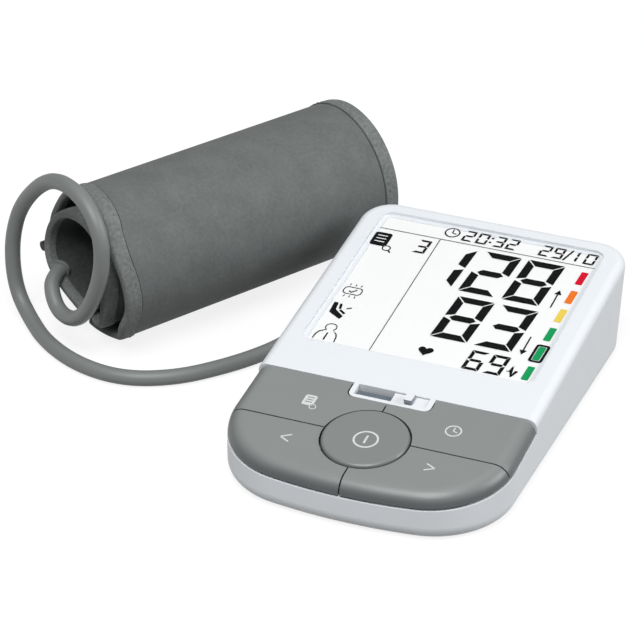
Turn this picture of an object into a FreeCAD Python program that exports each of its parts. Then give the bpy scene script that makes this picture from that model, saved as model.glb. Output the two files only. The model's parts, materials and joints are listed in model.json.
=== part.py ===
import FreeCAD, Part
import math
import os
import re
import Sketcher

# Upper-arm blood pressure monitor with a rolled cuff on an air hose, in millimetres, +Z up.
# Origin: middle of the monitor's base, on the surface it stands on. The user sits towards -Y.
# Two frames are used: the upright one, and the panel frame, whose third axis stands on the
# tilted display panel: x across, s up the slope, and o out of the panel (0 is its face).

SIZES = {
    # monitor body
    "half_width": 57.3,
    "front_reach": 82.6,        # origin to the front of the body
    "rear_reach": 87.2,         # origin to the back of the base
    "rear_lean": 12.0,          # degrees that the back wall leans outwards
    "front_arc": 200.0,
    "front_corner": 33.0,
    "rear_corner": 13.3,
    "panel_tilt": 7.37,         # degrees
    "panel_height": 30.3,       # panel's face above the origin
    "block_height": 60.0,       # taller than the body, which the panel then cuts
    "rim_round": 3.7,
    "base_round": 6.0,
    "parting": 3.6,             # height of the joint between the two housings
    "wall": 2.2,
    "roof": 2.4,
    # clearances
    "fit": 0.3,                 # between neighbouring pieces
    "seat_gap": 0.1,            # between a piece and what carries it
    "hair": 0.05,               # between faces that rest on each other
    # display
    "window_half": 48.2,
    "window_front": -4.9,
    "window_rear": 87.5,
    "window_round": 5.0,
    "lens_gap": 0.15,           # around the lens
    "opening_round": 1.0,
    "lens_thick": 1.2,
    "ledge": 2.2,
    "lcd_half": 45.6,
    "lcd_inset": 2.6,           # from the window's front and rear edges
    "lcd_thick": 2.4,
    "lcd_drop": 1.5,            # panel's face down to the glass cell
    "holder_rim": 2.0,
    "holder_plate": 1.2,
    "connector_inset": 6.4,     # from the sides of the glass cell
    "connector_set": 0.8,       # from its front edge
    "connector_width": 2.4,
    # keys
    "key_border": -25.2,        # slope position where the keys meet the panel
    "key_gap": 0.6,
    "key_inset": 0.2,           # key's outer wall inside the body's outline
    "key_skin": 2.0,
    "key_skirt": 5.5,
    "key_travel": 0.7,
    "key_round": 6.3,
    "key_wall": 1.9,
    "key_split": -54.3,         # slope position of the gap between the two rows of keys
    "deck_thick": 1.4,
    "start_centre": -56.1,
    "start_radius": 17.0,
    "start_rise": 1.0,
    "start_round": 1.6,
    "plunger_radius": 3.0,
    "rear_key_x": 29.3,
    "rear_key_s": -41.2,
    "front_key_x": 28.7,
    "front_key_s": -64.4,
    "mat_half": 37.0,
    "mat_front": -69.0,
    "mat_rear": -35.2,
    "mat_thick": 0.7,
    "pill_radius": 2.0,
    "pill_thick": 0.2,
    "pcb_drop": 9.3,            # panel's face down to the circuit board
    "pcb_thick": 1.2,
    "pcb_half": 42.5,
    "pcb_front": -72.0,
    "pcb_rear": 48.0,
    "standoff_x": 40.2,
    "standoff_front": -62.0,
    "standoff_middle": -36.0,
    "standoff_rear": 40.0,
    "standoff_radius": 1.8,
    "pcb_screw": 0.8,           # radius of the screws that hold the board
    "pcb_screw_reach": 1.2,     # beyond the board
    "pcb_screw_head": 1.0,
    # user switch
    "tab_half": 16.7,
    "tab_depth": 8.2,
    "tab_round": 3.0,
    "slot_half": 14.6,
    "slot_width": 6.4,
    "slider_place": 7.3,        # nub's place across the body, at the slot's right end
    "slider_half": 7.0,
    "slider_thick": 1.0,
    "slider_drop": 0.6,         # panel's face down to the sliding plate
    "nub_rise": 2.4,
    "nub_half": 1.7,
    "nub_round": 0.8,
    "web_half": 2.5,            # rib that reaches down from the sliding plate
    "web_thick": 1.1,
    "smoke_thick": 1.0,
    "switch_half": 12.0,
    "switch_reach": 3.0,
    # batteries and their bay
    "cell_radius": 7.1,
    "cell_length": 50.2,
    "cell_space": 0.8,          # between neighbouring cells
    "cell_gap": 0.4,
    "tip_radius": 2.7,
    "tip_length": 1.0,
    "contact_half": 5.5,
    "contact_thick": 0.5,
    "spring_wide": 4.2,
    "spring_narrow": 2.6,
    "bay_front": -3.0,
    "bay_length": 54.0,
    "bay_wall": 1.6,
    "door_thick": 2.2,
    "hinge_radius": 0.7,
    "hinge_clearance": 0.08,
    "hinge_pin": 1.4,           # length of each hinge pin beyond the door
    "stop_start": 6.0,          # bay's front to the ledges that the door closes against
    "stop_width": 1.0,
    "notch_radius": 9.0,        # finger notch at the door's rear edge
    "notch_set": 4.0,
    "notch_depth": 1.2,
    "grip_half": 7.0,
    "grip_width": 1.2,
    "grip_pitch": 3.0,
    "grip_depth": 0.4,
    "floor_thick": 2.0,
    # fasteners and pads
    "boss_x": 50.5,
    "boss_front": -49.5,
    "boss_rear": 49.0,
    "boss_radius": 2.5,
    "boss_foot": 3.9,
    "boss_joint": 9.0,
    "screw_radius": 1.3,
    "screw_length": 10.0,
    "screw_head": 2.2,
    "screw_head_thick": 1.8,
    "cross_half": 1.4,
    "cross_thick": 0.6,
    "cross_depth": 1.0,
    "screw_depth": 3.2,         # base to the underside of the screw's head
    "pad_radius": 4.5,
    "pad_thick": 1.0,
    "pad_x": 44.0,
    "pad_front": -58.0,
    "pad_rear": 69.5,
    # air system
    "pump_radius": 11.0,
    "pump_left": -37.0,
    "pump_head": 14.0,
    "pump_motor": 29.0,
    "pump_depth": 65.0,
    "pump_level": 14.6,
    "nipple_rise": 5.0,
    "motor_step": 0.4,
    "motor_boss": 1.5,
    "motor_boss_radius": 3.0,
    "rib_thick": 2.0,           # the two ribs of the pump's cradle
    "rib_half": 8.0,
    "rib_inset": 5.0,
    "rib_drop": 6.0,            # pump's axis down to the ribs' top
    "manifold_left": -44.0,
    "manifold_thick": 5.0,
    "manifold_front": 6.0,      # socket's axis to the manifold's front
    "manifold_rear": 8.0,
    "manifold_drop": 4.5,
    "manifold_rise": 4.0,
    "arm_drop": 3.0,
    "arm_reach": 2.4,
    "tube_radius": 2.0,
    "tube_bore": 1.1,
    "tube_depth": 78.5,
    "tube_level": 20.0,
    "thin_tube": 1.7,
    "valve_left": 14.0,
    "valve_length": 18.0,
    "valve_radius": 6.3,
    "valve_depth": 75.4,
    "valve_cap": 2.0,
    "stand_front": 4.0,         # valve's axis to the stand's front
    "stand_rear": 0.5,
    "sensor_left": -44.0,
    "sensor_size": 9.0,
    "sensor_rear": 46.0,
    "sensor_drop": 5.0,
    "sensor_rise": 3.2,
    "buzzer_radius": 4.8,
    "buzzer_thick": 3.0,
    "buzzer_x": 37.6,
    "buzzer_s": 10.0,
    "socket_depth": 62.0,
    "socket_level": 9.0,
    "socket_radius": 5.0,
    "socket_bore": 2.6,
    "socket_flange": 6.2,
    "socket_lip": 0.6,          # beyond the housing's wall
    "flange_thick": 1.4,
    "bore_spare": 1.0,          # beyond the plug's spigot
    "passage_radius": 1.0,
    "plug_clearance": 0.08,
    "plug_reach": 10.0,         # spigot inside the socket
    "plug_axis": 6.0,           # housing wall out to the tail's centre line
    "plug_radius": 4.4,
    "plug_tail": 15.0,
    "plug_stand": 0.4,          # from the socket's lip
    "plug_step": 0.4,
    "plug_round": 1.2,
    "sleeve_wall": 0.3,
    # hose
    "hose_radius": 3.25,
    "port_length": 1.6,
    "collar_wall": 0.7,
    # cuff
    "cuff_length": 140.0,
    "cuff_heading": 61.07,      # degrees from +X to the cuff's axis
    "cuff_x": -148.85,          # middle of the mouth, on the surface
    "cuff_y": 7.97,
    "roll_radius": 32.9,
    "band_thick": 3.4,
    "fabric_thick": 1.1,
    "soft_gap": 0.3,
    "inner_low": 26.3,          # mid-line radius of the lower half of the inner turn
    "inner_high": 21.5,         # mid-line radius of the upper half of the inner turn
    "flap_end": -75.0,          # degrees round the roll where the outer end of the band lies
    "band_end": -32.0,          # the same for its inner end
    "binding_width": 5.0,
    "bladder_inset": 3.0,       # from the bindings
    "bladder_start": -20.0,     # degrees round the inner turn
    "bladder_margin": 8.0,      # degrees short of the band's inner end
    "bar_radius": 1.8,
    "bar_overhang": 3.0,
    "cap_wall": 0.3,
    "loop_thick": 0.8,
    "patch_thick": 0.8,
    "patch_inset": 8.0,         # from the bindings
    "patch_start": -140.0,      # degrees round the outer turn
    "patch_end": -190.0,
}

# Route of the hose, from the cuff's port to the plug: corner points of its smooth line.
HOSE_POINTS = [
    (-163.6, 14.1, 25.7),
    (-164.1, 7.2, 24.8),
    (-160.9, 1.5, 20.5),
    (-156.1, -2.1, 15.9),
    (-147.8, -6.7, 16.3),
    (-139.8, -10.8, 23.0),
    (-133.2, -14.4, 34.6),
    (-127.7, -17.4, 49.6),
    (-127.5, -17.6, 64.5),
    (-135.1, -12.7, 74.4),
    (-149.4, -4.3, 77.8),
    (-165.2, 5.0, 71.7),
    (-178.4, 12.3, 58.4),
    (-185.9, 15.9, 41.7),
    (-185.9, 13.6, 28.8),
    (-186.3, 16.3, 14.5),
    (-179.6, 12.3, 5.6),
    (-161.5, -5.0, 3.3),
    (-140.5, -17.0, 3.3),
    (-118.9, -20.4, 3.3),
    (-99.5, -12.5, 3.3),
    (-85.0, 3.0, 3.3),
    (-74.2, 19.0, 3.3),
    (-66.6, 29.8, 5.6),
    (-63.3, 39.5, 9.0),
    (-63.3, 47.0, 9.0),
]
ARC_SHARE = 0.45                # of the shorter run beside each corner, taken by its arc
TOUCH = 0.01                    # how near counts as on a face

doc = FreeCAD.newDocument("blood_pressure_monitor")
sheet = doc.addObject("Spreadsheet::Sheet", "sizes")
for row, (alias, value) in enumerate(SIZES.items(), start=1):
    sheet.set("A%d" % row, str(value))
    sheet.setAlias("A%d" % row, alias)
doc.recompute()

nodes = []


# ---- helpers -------------------------------------------------------------------------------

def bound(text):
    """The expression with each driving size named as a cell of the sheet."""
    def cell(word):
        return ("sizes." if word.group() in SIZES else "") + word.group()

    return re.sub(r"[a-z][a-z_]*", cell, text)


def number(text):
    """What an expression comes to now."""
    return float(sheet.evalExpression(bound(text)))


def drive(thing, **properties):
    for path, text in properties.items():
        thing.setExpression(path.replace("__", "."), bound(text))


def place(thing, x, y, z, panel=False):
    """Puts a piece in the upright frame, or in the panel frame with its axes along the panel."""
    if panel:
        thing.Placement.Rotation = FreeCAD.Rotation(FreeCAD.Vector(1, 0, 0), number("panel_tilt"))
        drive(
            thing,
            Placement__Base__x=x,
            Placement__Base__y="(%s) * cos(panel_tilt) - (%s) * sin(panel_tilt)" % (y, z),
            Placement__Base__z="panel_height + (%s) * sin(panel_tilt) + (%s) * cos(panel_tilt)" % (y, z),
        )
    else:
        drive(thing, Placement__Base__x=x, Placement__Base__y=y, Placement__Base__z=z)


def box(name, x, y, z, panel=False):
    """A block between two limits on each axis."""
    block = doc.addObject("Part::Box", name)
    drive(
        block,
        Length="(%s) - (%s)" % (x[1], x[0]),
        Width="(%s) - (%s)" % (y[1], y[0]),
        Height="(%s) - (%s)" % (z[1], z[0]),
    )
    place(block, x[0], y[0], z[0], panel)
    return block


def turned(thing, axis, panel=False):
    """Lays a round piece along X, or along Y, in either frame."""
    lay = {
        "x": FreeCAD.Rotation(FreeCAD.Vector(0, 1, 0), 90),
        "y": FreeCAD.Rotation(FreeCAD.Vector(1, 0, 0), -90),
        "z": FreeCAD.Rotation(),
    }[axis]
    tilt = FreeCAD.Rotation(FreeCAD.Vector(1, 0, 0), number("panel_tilt") if panel else 0)
    thing.Placement.Rotation = tilt.multiply(lay)


def rod(name, radius, length, start, axis="z", panel=False):
    """A cylinder from its start point along one axis."""
    cylinder = doc.addObject("Part::Cylinder", name)
    drive(cylinder, Radius=radius, Height=length)
    place(cylinder, *start, panel)
    turned(cylinder, axis, panel)
    return cylinder


def cone(name, radius_start, radius_end, length, start, axis="z", panel=False):
    piece = doc.addObject("Part::Cone", name)
    drive(piece, Radius1=radius_start, Radius2=radius_end, Height=length)
    place(piece, *start, panel)
    turned(piece, axis, panel)
    return piece


def fuse(name, *pieces):
    joined = doc.addObject("Part::MultiFuse", name)
    joined.Shapes = list(pieces)
    joined.Refine = True
    return joined


def group(name, *pieces):
    """Separate solids in one node."""
    together = doc.addObject("Part::Compound", name)
    together.Links = list(pieces)
    return together


def cut(name, base, *tools):
    result = doc.addObject("Part::Cut", name)
    result.Base = base
    result.Tool = tools[0] if len(tools) == 1 else fuse(name + "_tools", *tools)
    result.Refine = True
    return result


def common(name, base, tool):
    result = doc.addObject("Part::Common", name)
    result.Base = base
    result.Tool = tool
    result.Refine = True
    return result


def rounded(name, base, radius, wanted):
    """Rounds the base's edges that the test picks out."""
    doc.recompute()
    result = doc.addObject("Part::Fillet", name)
    result.Base = base
    picked = [i for i, edge in enumerate(base.Shape.Edges, start=1) if wanted(edge)]
    result.Edges = [(i, number(radius), number(radius)) for i in picked]
    return result


def node(label, thing):
    thing.Label = label
    nodes.append(thing)
    return thing


def at_height(edge, height):
    return all(abs(v.Z - number(height)) < TOUCH for v in edge.Vertexes)


def panel_offset(point):
    """How far a point lies out of the panel's face."""
    tilt = math.radians(number("panel_tilt"))
    return (point.z - number("panel_height")) * math.cos(tilt) - point.y * math.sin(tilt)


def on_panel(edge, offset):
    middle = edge.valueAt((edge.FirstParameter + edge.LastParameter) / 2)
    points = [v.Point for v in edge.Vertexes] + [middle]
    return all(abs(panel_offset(p) - number(offset)) < TOUCH for p in points)


# ---- plan outline of the body --------------------------------------------------------------

def outline(name, inset, height, rear):
    """The body's plan: bowed front, rounded corners, straight sides and back, moved in by inset."""
    sketch = doc.addObject("Sketcher::SketchObject", name)
    place(sketch, "0", "0", height)
    half = number("half_width - (%s)" % inset)
    back = number("(%s) - (%s)" % (rear, inset))
    bow = number("front_arc - (%s)" % inset)
    corner = number("front_corner - (%s)" % inset)
    turn = number("rear_corner - (%s)" % inset)
    bow_y = number("front_arc - front_reach")
    corner_x = number("half_width - front_corner")
    corner_y = bow_y - math.sqrt(number("(front_arc - front_corner)^2 - (half_width - front_corner)^2"))
    meet = math.atan2(corner_y - bow_y, corner_x)
    axis = FreeCAD.Vector(0, 0, 1)

    def arc(x, y, radius, first, last):
        circle = Part.Circle(FreeCAD.Vector(x, y, 0), axis, radius)
        return sketch.addGeometry(Part.ArcOfCircle(circle, first, last), False)

    def line(x1, y1, x2, y2):
        ends = FreeCAD.Vector(x1, y1, 0), FreeCAD.Vector(x2, y2, 0)
        return sketch.addGeometry(Part.LineSegment(*ends), False)

    front = arc(0, bow_y, bow, -math.pi - meet, meet)
    right_corner = arc(corner_x, corner_y, corner, meet, 0)
    right = line(half, corner_y, half, back - turn)
    right_rear = arc(half - turn, back - turn, turn, 0, math.pi / 2)
    rear_line = line(half - turn, back, turn - half, back)
    left_rear = arc(turn - half, back - turn, turn, math.pi / 2, math.pi)
    left = line(-half, back - turn, -half, corner_y)
    left_corner = arc(-corner_x, corner_y, corner, math.pi, math.pi - meet)
    chain = [front, right_corner, right, right_rear, rear_line, left_rear, left, left_corner]
    for this, following in zip(chain, chain[1:] + chain[:1]):
        sketch.addConstraint(Sketcher.Constraint("Tangent", this, 2, following, 1))
    sketch.addConstraint(Sketcher.Constraint("Vertical", right))
    sketch.addConstraint(Sketcher.Constraint("Vertical", left))
    sketch.addConstraint(Sketcher.Constraint("Horizontal", rear_line))
    sketch.addConstraint(Sketcher.Constraint("PointOnObject", front, 3, -2))

    def measure(constraint, text):
        index = sketch.addConstraint(constraint)
        sketch.setExpression("Constraints[%d]" % index, bound(text))

    for element, size in (
        (front, "front_arc"), (right_corner, "front_corner"), (left_corner, "front_corner"),
        (right_rear, "rear_corner"), (left_rear, "rear_corner"),
    ):
        radius = "%s - (%s)" % (size, inset)
        measure(Sketcher.Constraint("Radius", element, number(radius)), radius)
    measure(Sketcher.Constraint("DistanceY", -1, 1, front, 3, bow_y), "front_arc - front_reach")
    measure(Sketcher.Constraint("DistanceX", -1, 1, right, 1, half), "half_width - (%s)" % inset)
    measure(Sketcher.Constraint("DistanceX", left, 1, -1, 1, half), "half_width - (%s)" % inset)
    measure(Sketcher.Constraint("DistanceY", -1, 1, rear_line, 1, back), "(%s) - (%s)" % (rear, inset))
    return sketch


def body_block(name, inset):
    """The whole body as a block, its back wall leaning outwards, before the panel cuts it."""
    loft = doc.addObject("Part::Loft", name)
    loft.Sections = [
        outline(name + "_foot", inset, "0", "rear_reach"),
        outline(name + "_head", inset, "block_height", "rear_reach + block_height * tan(rear_lean)"),
    ]
    loft.Solid = True
    loft.Ruled = True
    return loft


WIDE = ("-2 * half_width", "2 * half_width")
DEEP = ("-2 * front_reach", "2 * front_reach")
ABOVE = "2 * block_height"


def slab(name, high, low, x=WIDE, s=DEEP):
    """A block of the panel frame between two offsets."""
    return box(name, x, s, (low, high), panel=True)


def above_panel(name, offset):
    return slab(name, ABOVE, offset)


# ---- housings ------------------------------------------------------------------------------

DECK_TOP = "-(key_skirt + key_travel + fit)"
DECK_FOOT = "%s - deck_thick" % DECK_TOP
CELL_PITCH = "(2 * cell_radius + cell_space)"
HALF_BAY = "2 * %s + cell_gap" % CELL_PITCH
BAY_ROOF = "door_thick + 2 * cell_radius + 2 * cell_gap"
BAY_REAR = "bay_front + bay_length"
SLOT = ("key_border - slot_width - seat_gap", "key_border - seat_gap")
KEY_SIDE = ("-2 * front_reach", "key_border")
KEYS = {
    "memory_key": (-1, "rear_key_x", "rear_key_s"),
    "clock_key": (1, "rear_key_x", "rear_key_s"),
    "back_key": (-1, "front_key_x", "front_key_s"),
    "forward_key": (1, "front_key_x", "front_key_s"),
}


def panel_upright(edge):
    """An edge that stands square to the panel."""
    if len(edge.Vertexes) != 2:
        return False
    along = edge.Vertexes[1].Point - edge.Vertexes[0].Point
    tilt = math.radians(number("panel_tilt"))
    return abs(abs(along.z * math.cos(tilt) - along.y * math.sin(tilt)) - along.Length) < 1e-4


def rounded_block(name, x, s, o, radius, wanted=panel_upright):
    return rounded(name, box(name + "_block", x, s, o, panel=True), radius, wanted)


def corners(name, x, fronts, make):
    """The same piece at both sides and at each of the given depths."""
    pieces = []
    for index, y in enumerate(fronts):
        for side, sign in (("left", "-"), ("right", "")):
            pieces.append(make("%s_%s_%d" % (name, side, index), "%s%s" % (sign, x), y))
    return pieces


def plungers(name, radius, low, high):
    """Posts under the five keys, in the panel frame."""
    posts = [rod("%s_%s" % (name, key), radius, "(%s) - (%s)" % (high, low),
                 ("%d * %s" % (side, x), s, low), panel=True)
             for key, (side, x, s) in KEYS.items()]
    start = ("0", "start_centre", low)
    posts.append(rod(name + "_start", radius, "(%s) - (%s)" % (high, low), start, panel=True))
    return posts


trunk = cut("trunk", body_block("trunk_block", "0"), above_panel("over_trunk", "0"))
trunk = rounded("trunk_rim", trunk, "rim_round", lambda edge: on_panel(edge, "0"))
trunk = rounded("trunk_base", trunk, "base_round", lambda edge: at_height(edge, "0"))

cavity = cut(
    "cavity_blank",
    body_block("cavity_block", "wall"),
    above_panel("over_cavity", "-roof"),
    slab("over_deck", ABOVE, DECK_FOOT, s=("-2 * front_reach", "key_border + wall")),
    box("under_floor", WIDE, DEEP, ("-wall", "floor_thick")),
)
cavity = rounded("cavity", cavity, "base_round - wall", lambda edge: at_height(edge, "floor_thick"))

window_hole = rounded_block(
    "window_hole", ("-(window_half - ledge)", "window_half - ledge"),
    ("window_front + ledge", "window_rear - ledge"), ("-2 * roof", "roof"), "opening_round")
window_recess = rounded_block(
    "window_recess", ("-(window_half + lens_gap)", "window_half + lens_gap"),
    ("window_front - lens_gap", "window_rear + lens_gap"),
    ("-(lens_thick + seat_gap)", "roof"), "window_round")


def tab(name, spread):
    """The tongue of the panel between the rear keys, which holds the user switch."""
    border = number("(key_border - wall) * cos(panel_tilt)")
    return rounded_block(
        name, ("-(tab_half + %s)" % spread, "tab_half + %s" % spread),
        ("key_border - tab_depth - %s" % spread, "key_border + wall"), (DECK_TOP, "block_height"),
        "tab_round + %s" % spread,
        lambda edge: panel_upright(edge) and edge.Vertexes[0].Y < border)


key_space = cut("key_space", slab("over_keys", ABOVE, DECK_TOP, s=KEY_SIDE), tab("tab", "0"))
switch_slot = box(
    "switch_slot", ("-slot_half", "slot_half"), SLOT, ("2 * (%s)" % DECK_FOOT, "roof"), panel=True)


def at_screws(name, make):
    """The same piece at the four places where a screw joins the housings."""
    return corners(name, "boss_x", ("boss_front", "boss_rear"), make)


def at_pads(name, make):
    return corners(name, "pad_x", ("pad_front", "pad_rear"), make)


def upright_rod(radius, length, foot):
    """A maker of upright round pieces for the corners."""
    return lambda name, x, y: rod(name, radius, length, (x, y, foot))


upper_bosses = at_screws("upper_boss", upright_rod("boss_radius", "block_height", "boss_joint"))
pilots = at_screws("pilot", upright_rod("screw_radius + hair", "screw_length", "boss_joint - wall"))
in_shell = cut("in_shell", trunk, slab("over_bosses_deck", ABOVE, DECK_TOP, s=KEY_SIDE),
               above_panel("over_bosses_roof", "fit - roof"))
bosses = common("upper_bosses", fuse("boss_posts", *upper_bosses), in_shell)

BOARD_SCREWS = ("standoff_front", "standoff_middle", "standoff_rear")
DECK_SCREWS = BOARD_SCREWS[:2]


def board_rods(name, fronts, radius, low, high):
    """Round pieces of the panel frame at the board's fixing points."""
    return corners(name, "standoff_x", fronts, lambda name, x, s: rod(
        name, radius, "(%s) - (%s)" % (high, low), (x, s, low), panel=True))


IN_DECK = "%s + deck_thick / 2" % DECK_FOOT
upper_shell = cut(
    "upper_shell", trunk, cavity, box("under_parting", WIDE, DEEP, ("-wall", "parting")),
    key_space, window_hole, window_recess)
flange_relief = rod("flange_relief", "socket_flange + 2 * seat_gap", "3 * flange_thick",
                    ("-(half_width - wall)", "socket_depth", "socket_level"), "x")
standoffs = board_rods("standoff", DECK_SCREWS, "standoff_radius", "hair - pcb_drop", IN_DECK)
node("upper_housing", cut(
    "upper_housing",
    fuse("upper_with_bosses", upper_shell, bosses, *standoffs),
    switch_slot,
    *board_rods("standoff_pilot", DECK_SCREWS, "pcb_screw + hair", "-pcb_drop", IN_DECK),
    *plungers("deck_hole", "plunger_radius + 4 * seat_gap", "2 * (%s)" % DECK_FOOT, "roof"),
    *pilots,
    rod("socket_hole", "socket_radius + seat_gap", "4 * wall",
        ("-half_width - wall", "socket_depth", "socket_level"), "x"),
    flange_relief,
))

# lower housing: a shallow tray with the battery bay, the pump's cradle and the screw posts
IN_FLOOR = "floor_thick / 2"
under_joint = box("under_joint", WIDE, DEEP, ("-wall", "parting"))
tray = cut("tray", common("tray_skin", trunk, under_joint), cavity)
bay_outside = box(
    "bay_outside", ("-(%s + bay_wall)" % HALF_BAY, "%s + bay_wall" % HALF_BAY),
    ("bay_front - bay_wall", "%s + bay_wall" % BAY_REAR), ("0", "%s + bay_wall" % BAY_ROOF))
bay_inside = box("bay_inside", ("-(%s)" % HALF_BAY, HALF_BAY), ("bay_front", BAY_REAR), ("-wall", BAY_ROOF))
door_stops = [
    box("door_stop_" + side, limits, ("bay_front + stop_start", BAY_REAR),
        ("door_thick + seat_gap", "door_thick + seat_gap + stop_width"))
    for side, limits in (("left", ("-(%s)" % HALF_BAY, "stop_width - (%s)" % HALF_BAY)),
                         ("right", ("%s - stop_width" % HALF_BAY, HALF_BAY)))]


def cradle_rib(side, x):
    """A rib across the pump, with a round seat in its top."""
    rib = box("cradle_rib_" + side, (x, "%s + rib_thick" % x),
              ("pump_depth - rib_half", "pump_depth + rib_half"), (IN_FLOOR, "pump_level - rib_drop"))
    seat = rod("cradle_seat_" + side, "pump_radius + 2 * seat_gap", "3 * rib_thick",
               ("%s - rib_thick" % x, "pump_depth", "pump_level"), "x")
    return cut("cradle_" + side, rib, seat)


cradle = [
    cradle_rib("left", "pump_left + rib_inset"),
    cradle_rib("right", "pump_left + pump_head + pump_motor - motor_boss - rib_inset - rib_thick"),
]
valve_stand = box(
    "valve_stand", ("valve_left + valve_length / 3", "valve_left + 2 * valve_length / 3"),
    ("valve_depth - stand_front", "valve_depth - stand_rear"),
    (IN_FLOOR, "tube_level - valve_radius - 2 * seat_gap"))
posts = at_screws("screw_post", upright_rod("boss_foot", "boss_joint - seat_gap - %s" % IN_FLOOR, IN_FLOOR))
screw_posts = common("screw_posts", fuse("post_set", *posts), body_block("post_limit", "wall + fit"))
counterbores = at_screws("counterbore", upright_rod("screw_head + fit", "screw_depth + wall", "-wall"))
screw_holes = at_screws("screw_hole", upright_rod("screw_radius + 2 * seat_gap", "boss_joint", "0"))
pad_seats = at_pads("pad_seat", upright_rod("pad_radius + 2 * seat_gap", "pad_thick + wall", "-wall"))
HINGE_Y = "bay_front + door_thick / 2 + cell_gap"
HINGE_Z = "door_thick / 2"
HINGE_END = "%s + hinge_pin - seat_gap" % HALF_BAY
hinge_holes = rod("hinge_holes", "hinge_radius + hinge_clearance", "2 * (%s)" % HINGE_END,
                  ("-(%s)" % HINGE_END, HINGE_Y, HINGE_Z), "x")


def notch(name):
    """Space for a fingertip, half in the floor and half in the door."""
    return rod(name, "notch_radius", "notch_depth + wall", ("0", "%s + notch_set" % BAY_REAR, "-wall"))


node("lower_housing", cut(
    "lower_housing",
    fuse("lower_with_bay", cut("tray_open", fuse("tray_with_bay", tray, bay_outside), bay_inside),
         *door_stops, *cradle, valve_stand, screw_posts),
    *counterbores, *screw_holes, *pad_seats, hinge_holes, notch("floor_notch"), flange_relief))

feet = at_pads("foot", upright_rod("pad_radius", "pad_thick - hair", "0"))
node("rubber_feet", group("rubber_feet", *feet))


def screw(name, x, y):
    """A pan-head screw with a cross recess, head down."""
    head = rod(name + "_head", "screw_head", "screw_head_thick", (x, y, "screw_depth - screw_head_thick"))
    shank = rod(name + "_shank", "screw_radius", "screw_length", (x, y, "screw_depth"))
    face = "screw_depth - screw_head_thick"
    slots = (("x", "cross_half", "cross_thick / 2"), ("y", "cross_thick / 2", "cross_half"))
    cross = [
        box(name + "_cross_" + way,
            ("%s - %s" % (x, half_x), "%s + %s" % (x, half_x)),
            ("%s - %s" % (y, half_y), "%s + %s" % (y, half_y)),
            ("%s - cross_depth" % face, "%s + cross_depth" % face))
        for way, half_x, half_y in slots]
    return cut(name, fuse(name + "_blank", head, shank), *cross)


node("housing_screws", group("housing_screws", *at_screws("screw", screw)))


# ---- battery door, batteries and contacts ---------------------------------------------------

DOOR_HALF = "%s - fit" % HALF_BAY
PIN_HALF = "%s + hinge_pin" % DOOR_HALF
DOOR_LEFT = "-(%s)" % DOOR_HALF
PIN_LEFT = "-(%s)" % PIN_HALF
door_plate = box("door_plate", (DOOR_LEFT, DOOR_HALF), (HINGE_Y, "%s - fit" % BAY_REAR), ("0", "door_thick"))
door_knuckle = rod("door_knuckle", HINGE_Z, "2 * (%s)" % DOOR_HALF, (DOOR_LEFT, HINGE_Y, HINGE_Z), "x")
door_pins = rod("door_pins", "hinge_radius", "2 * (%s)" % PIN_HALF, (PIN_LEFT, HINGE_Y, HINGE_Z), "x")
GRIPS = 4
grips = []
for i in range(GRIPS):
    grip_rear = "%s - notch_radius + notch_set - (%d + 1) * grip_pitch" % (BAY_REAR, i)
    grips.append(box("grip_%d" % i, ("-grip_half", "grip_half"),
                     ("%s - grip_width" % grip_rear, grip_rear), ("-wall", "grip_depth")))
door_blank = fuse("door_with_hinge", door_plate, door_knuckle, door_pins)
node("battery_door", cut("battery_door", door_blank, notch("door_notch"), *grips))

CELLS = 4
CELL_Z = "door_thick + cell_gap + cell_radius"
CELL_Y = "bay_front + (bay_length - cell_length) / 2"
CELL_REAR = "%s + cell_length" % CELL_Y


def cell_x(i):
    return "(%s) * %s" % (i - (CELLS - 1) / 2, CELL_PITCH)


def forward(i):
    """Every other cell has its positive tip at the rear."""
    return i % 2 == 0


cells = []
for i in range(CELLS):
    case_y = "%s + tip_length" % CELL_Y if forward(i) else CELL_Y
    tip_y = CELL_Y if forward(i) else "%s - 2 * tip_length" % CELL_REAR
    cells.append(fuse(
        "cell_%d" % i,
        rod("cell_case_%d" % i, "cell_radius", "cell_length - tip_length", (cell_x(i), case_y, CELL_Z), "y"),
        rod("cell_tip_%d" % i, "tip_radius", "2 * tip_length", (cell_x(i), tip_y, CELL_Z), "y")))
node("batteries", group("batteries", *cells))


def contact_row(name, front, rear):
    """Spring steel plates on one end wall of the bay, one for each cell."""
    return group(name, *[
        box("%s_plate_%d" % (name, i), ("%s - contact_half" % cell_x(i), "%s + contact_half" % cell_x(i)),
            (front, rear), ("%s - contact_half" % CELL_Z, "%s + contact_half" % CELL_Z))
        for i in range(CELLS)])


node("front_contacts", contact_row(
    "front_contacts", "bay_front + seat_gap", "bay_front + seat_gap + contact_thick"))
node("rear_contacts", contact_row(
    "rear_contacts", "%s - seat_gap - contact_thick" % BAY_REAR, "%s - seat_gap" % BAY_REAR))

# a spring fills the space between each cell's flat end and its contact
SPRING = "(bay_length - cell_length) / 2 - seat_gap - contact_thick - 2 * hair"
springs = []
for i in range(CELLS):
    if forward(i):
        spring_y = "%s + hair" % CELL_REAR
        ends = ("spring_narrow", "spring_wide")
    else:
        spring_y = "bay_front + seat_gap + contact_thick + hair"
        ends = ("spring_wide", "spring_narrow")
    springs.append(cone("spring_%d" % i, *ends, SPRING, (cell_x(i), spring_y, CELL_Z), "y"))
node("battery_springs", group("battery_springs", *springs))


# ---- display --------------------------------------------------------------------------------

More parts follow.
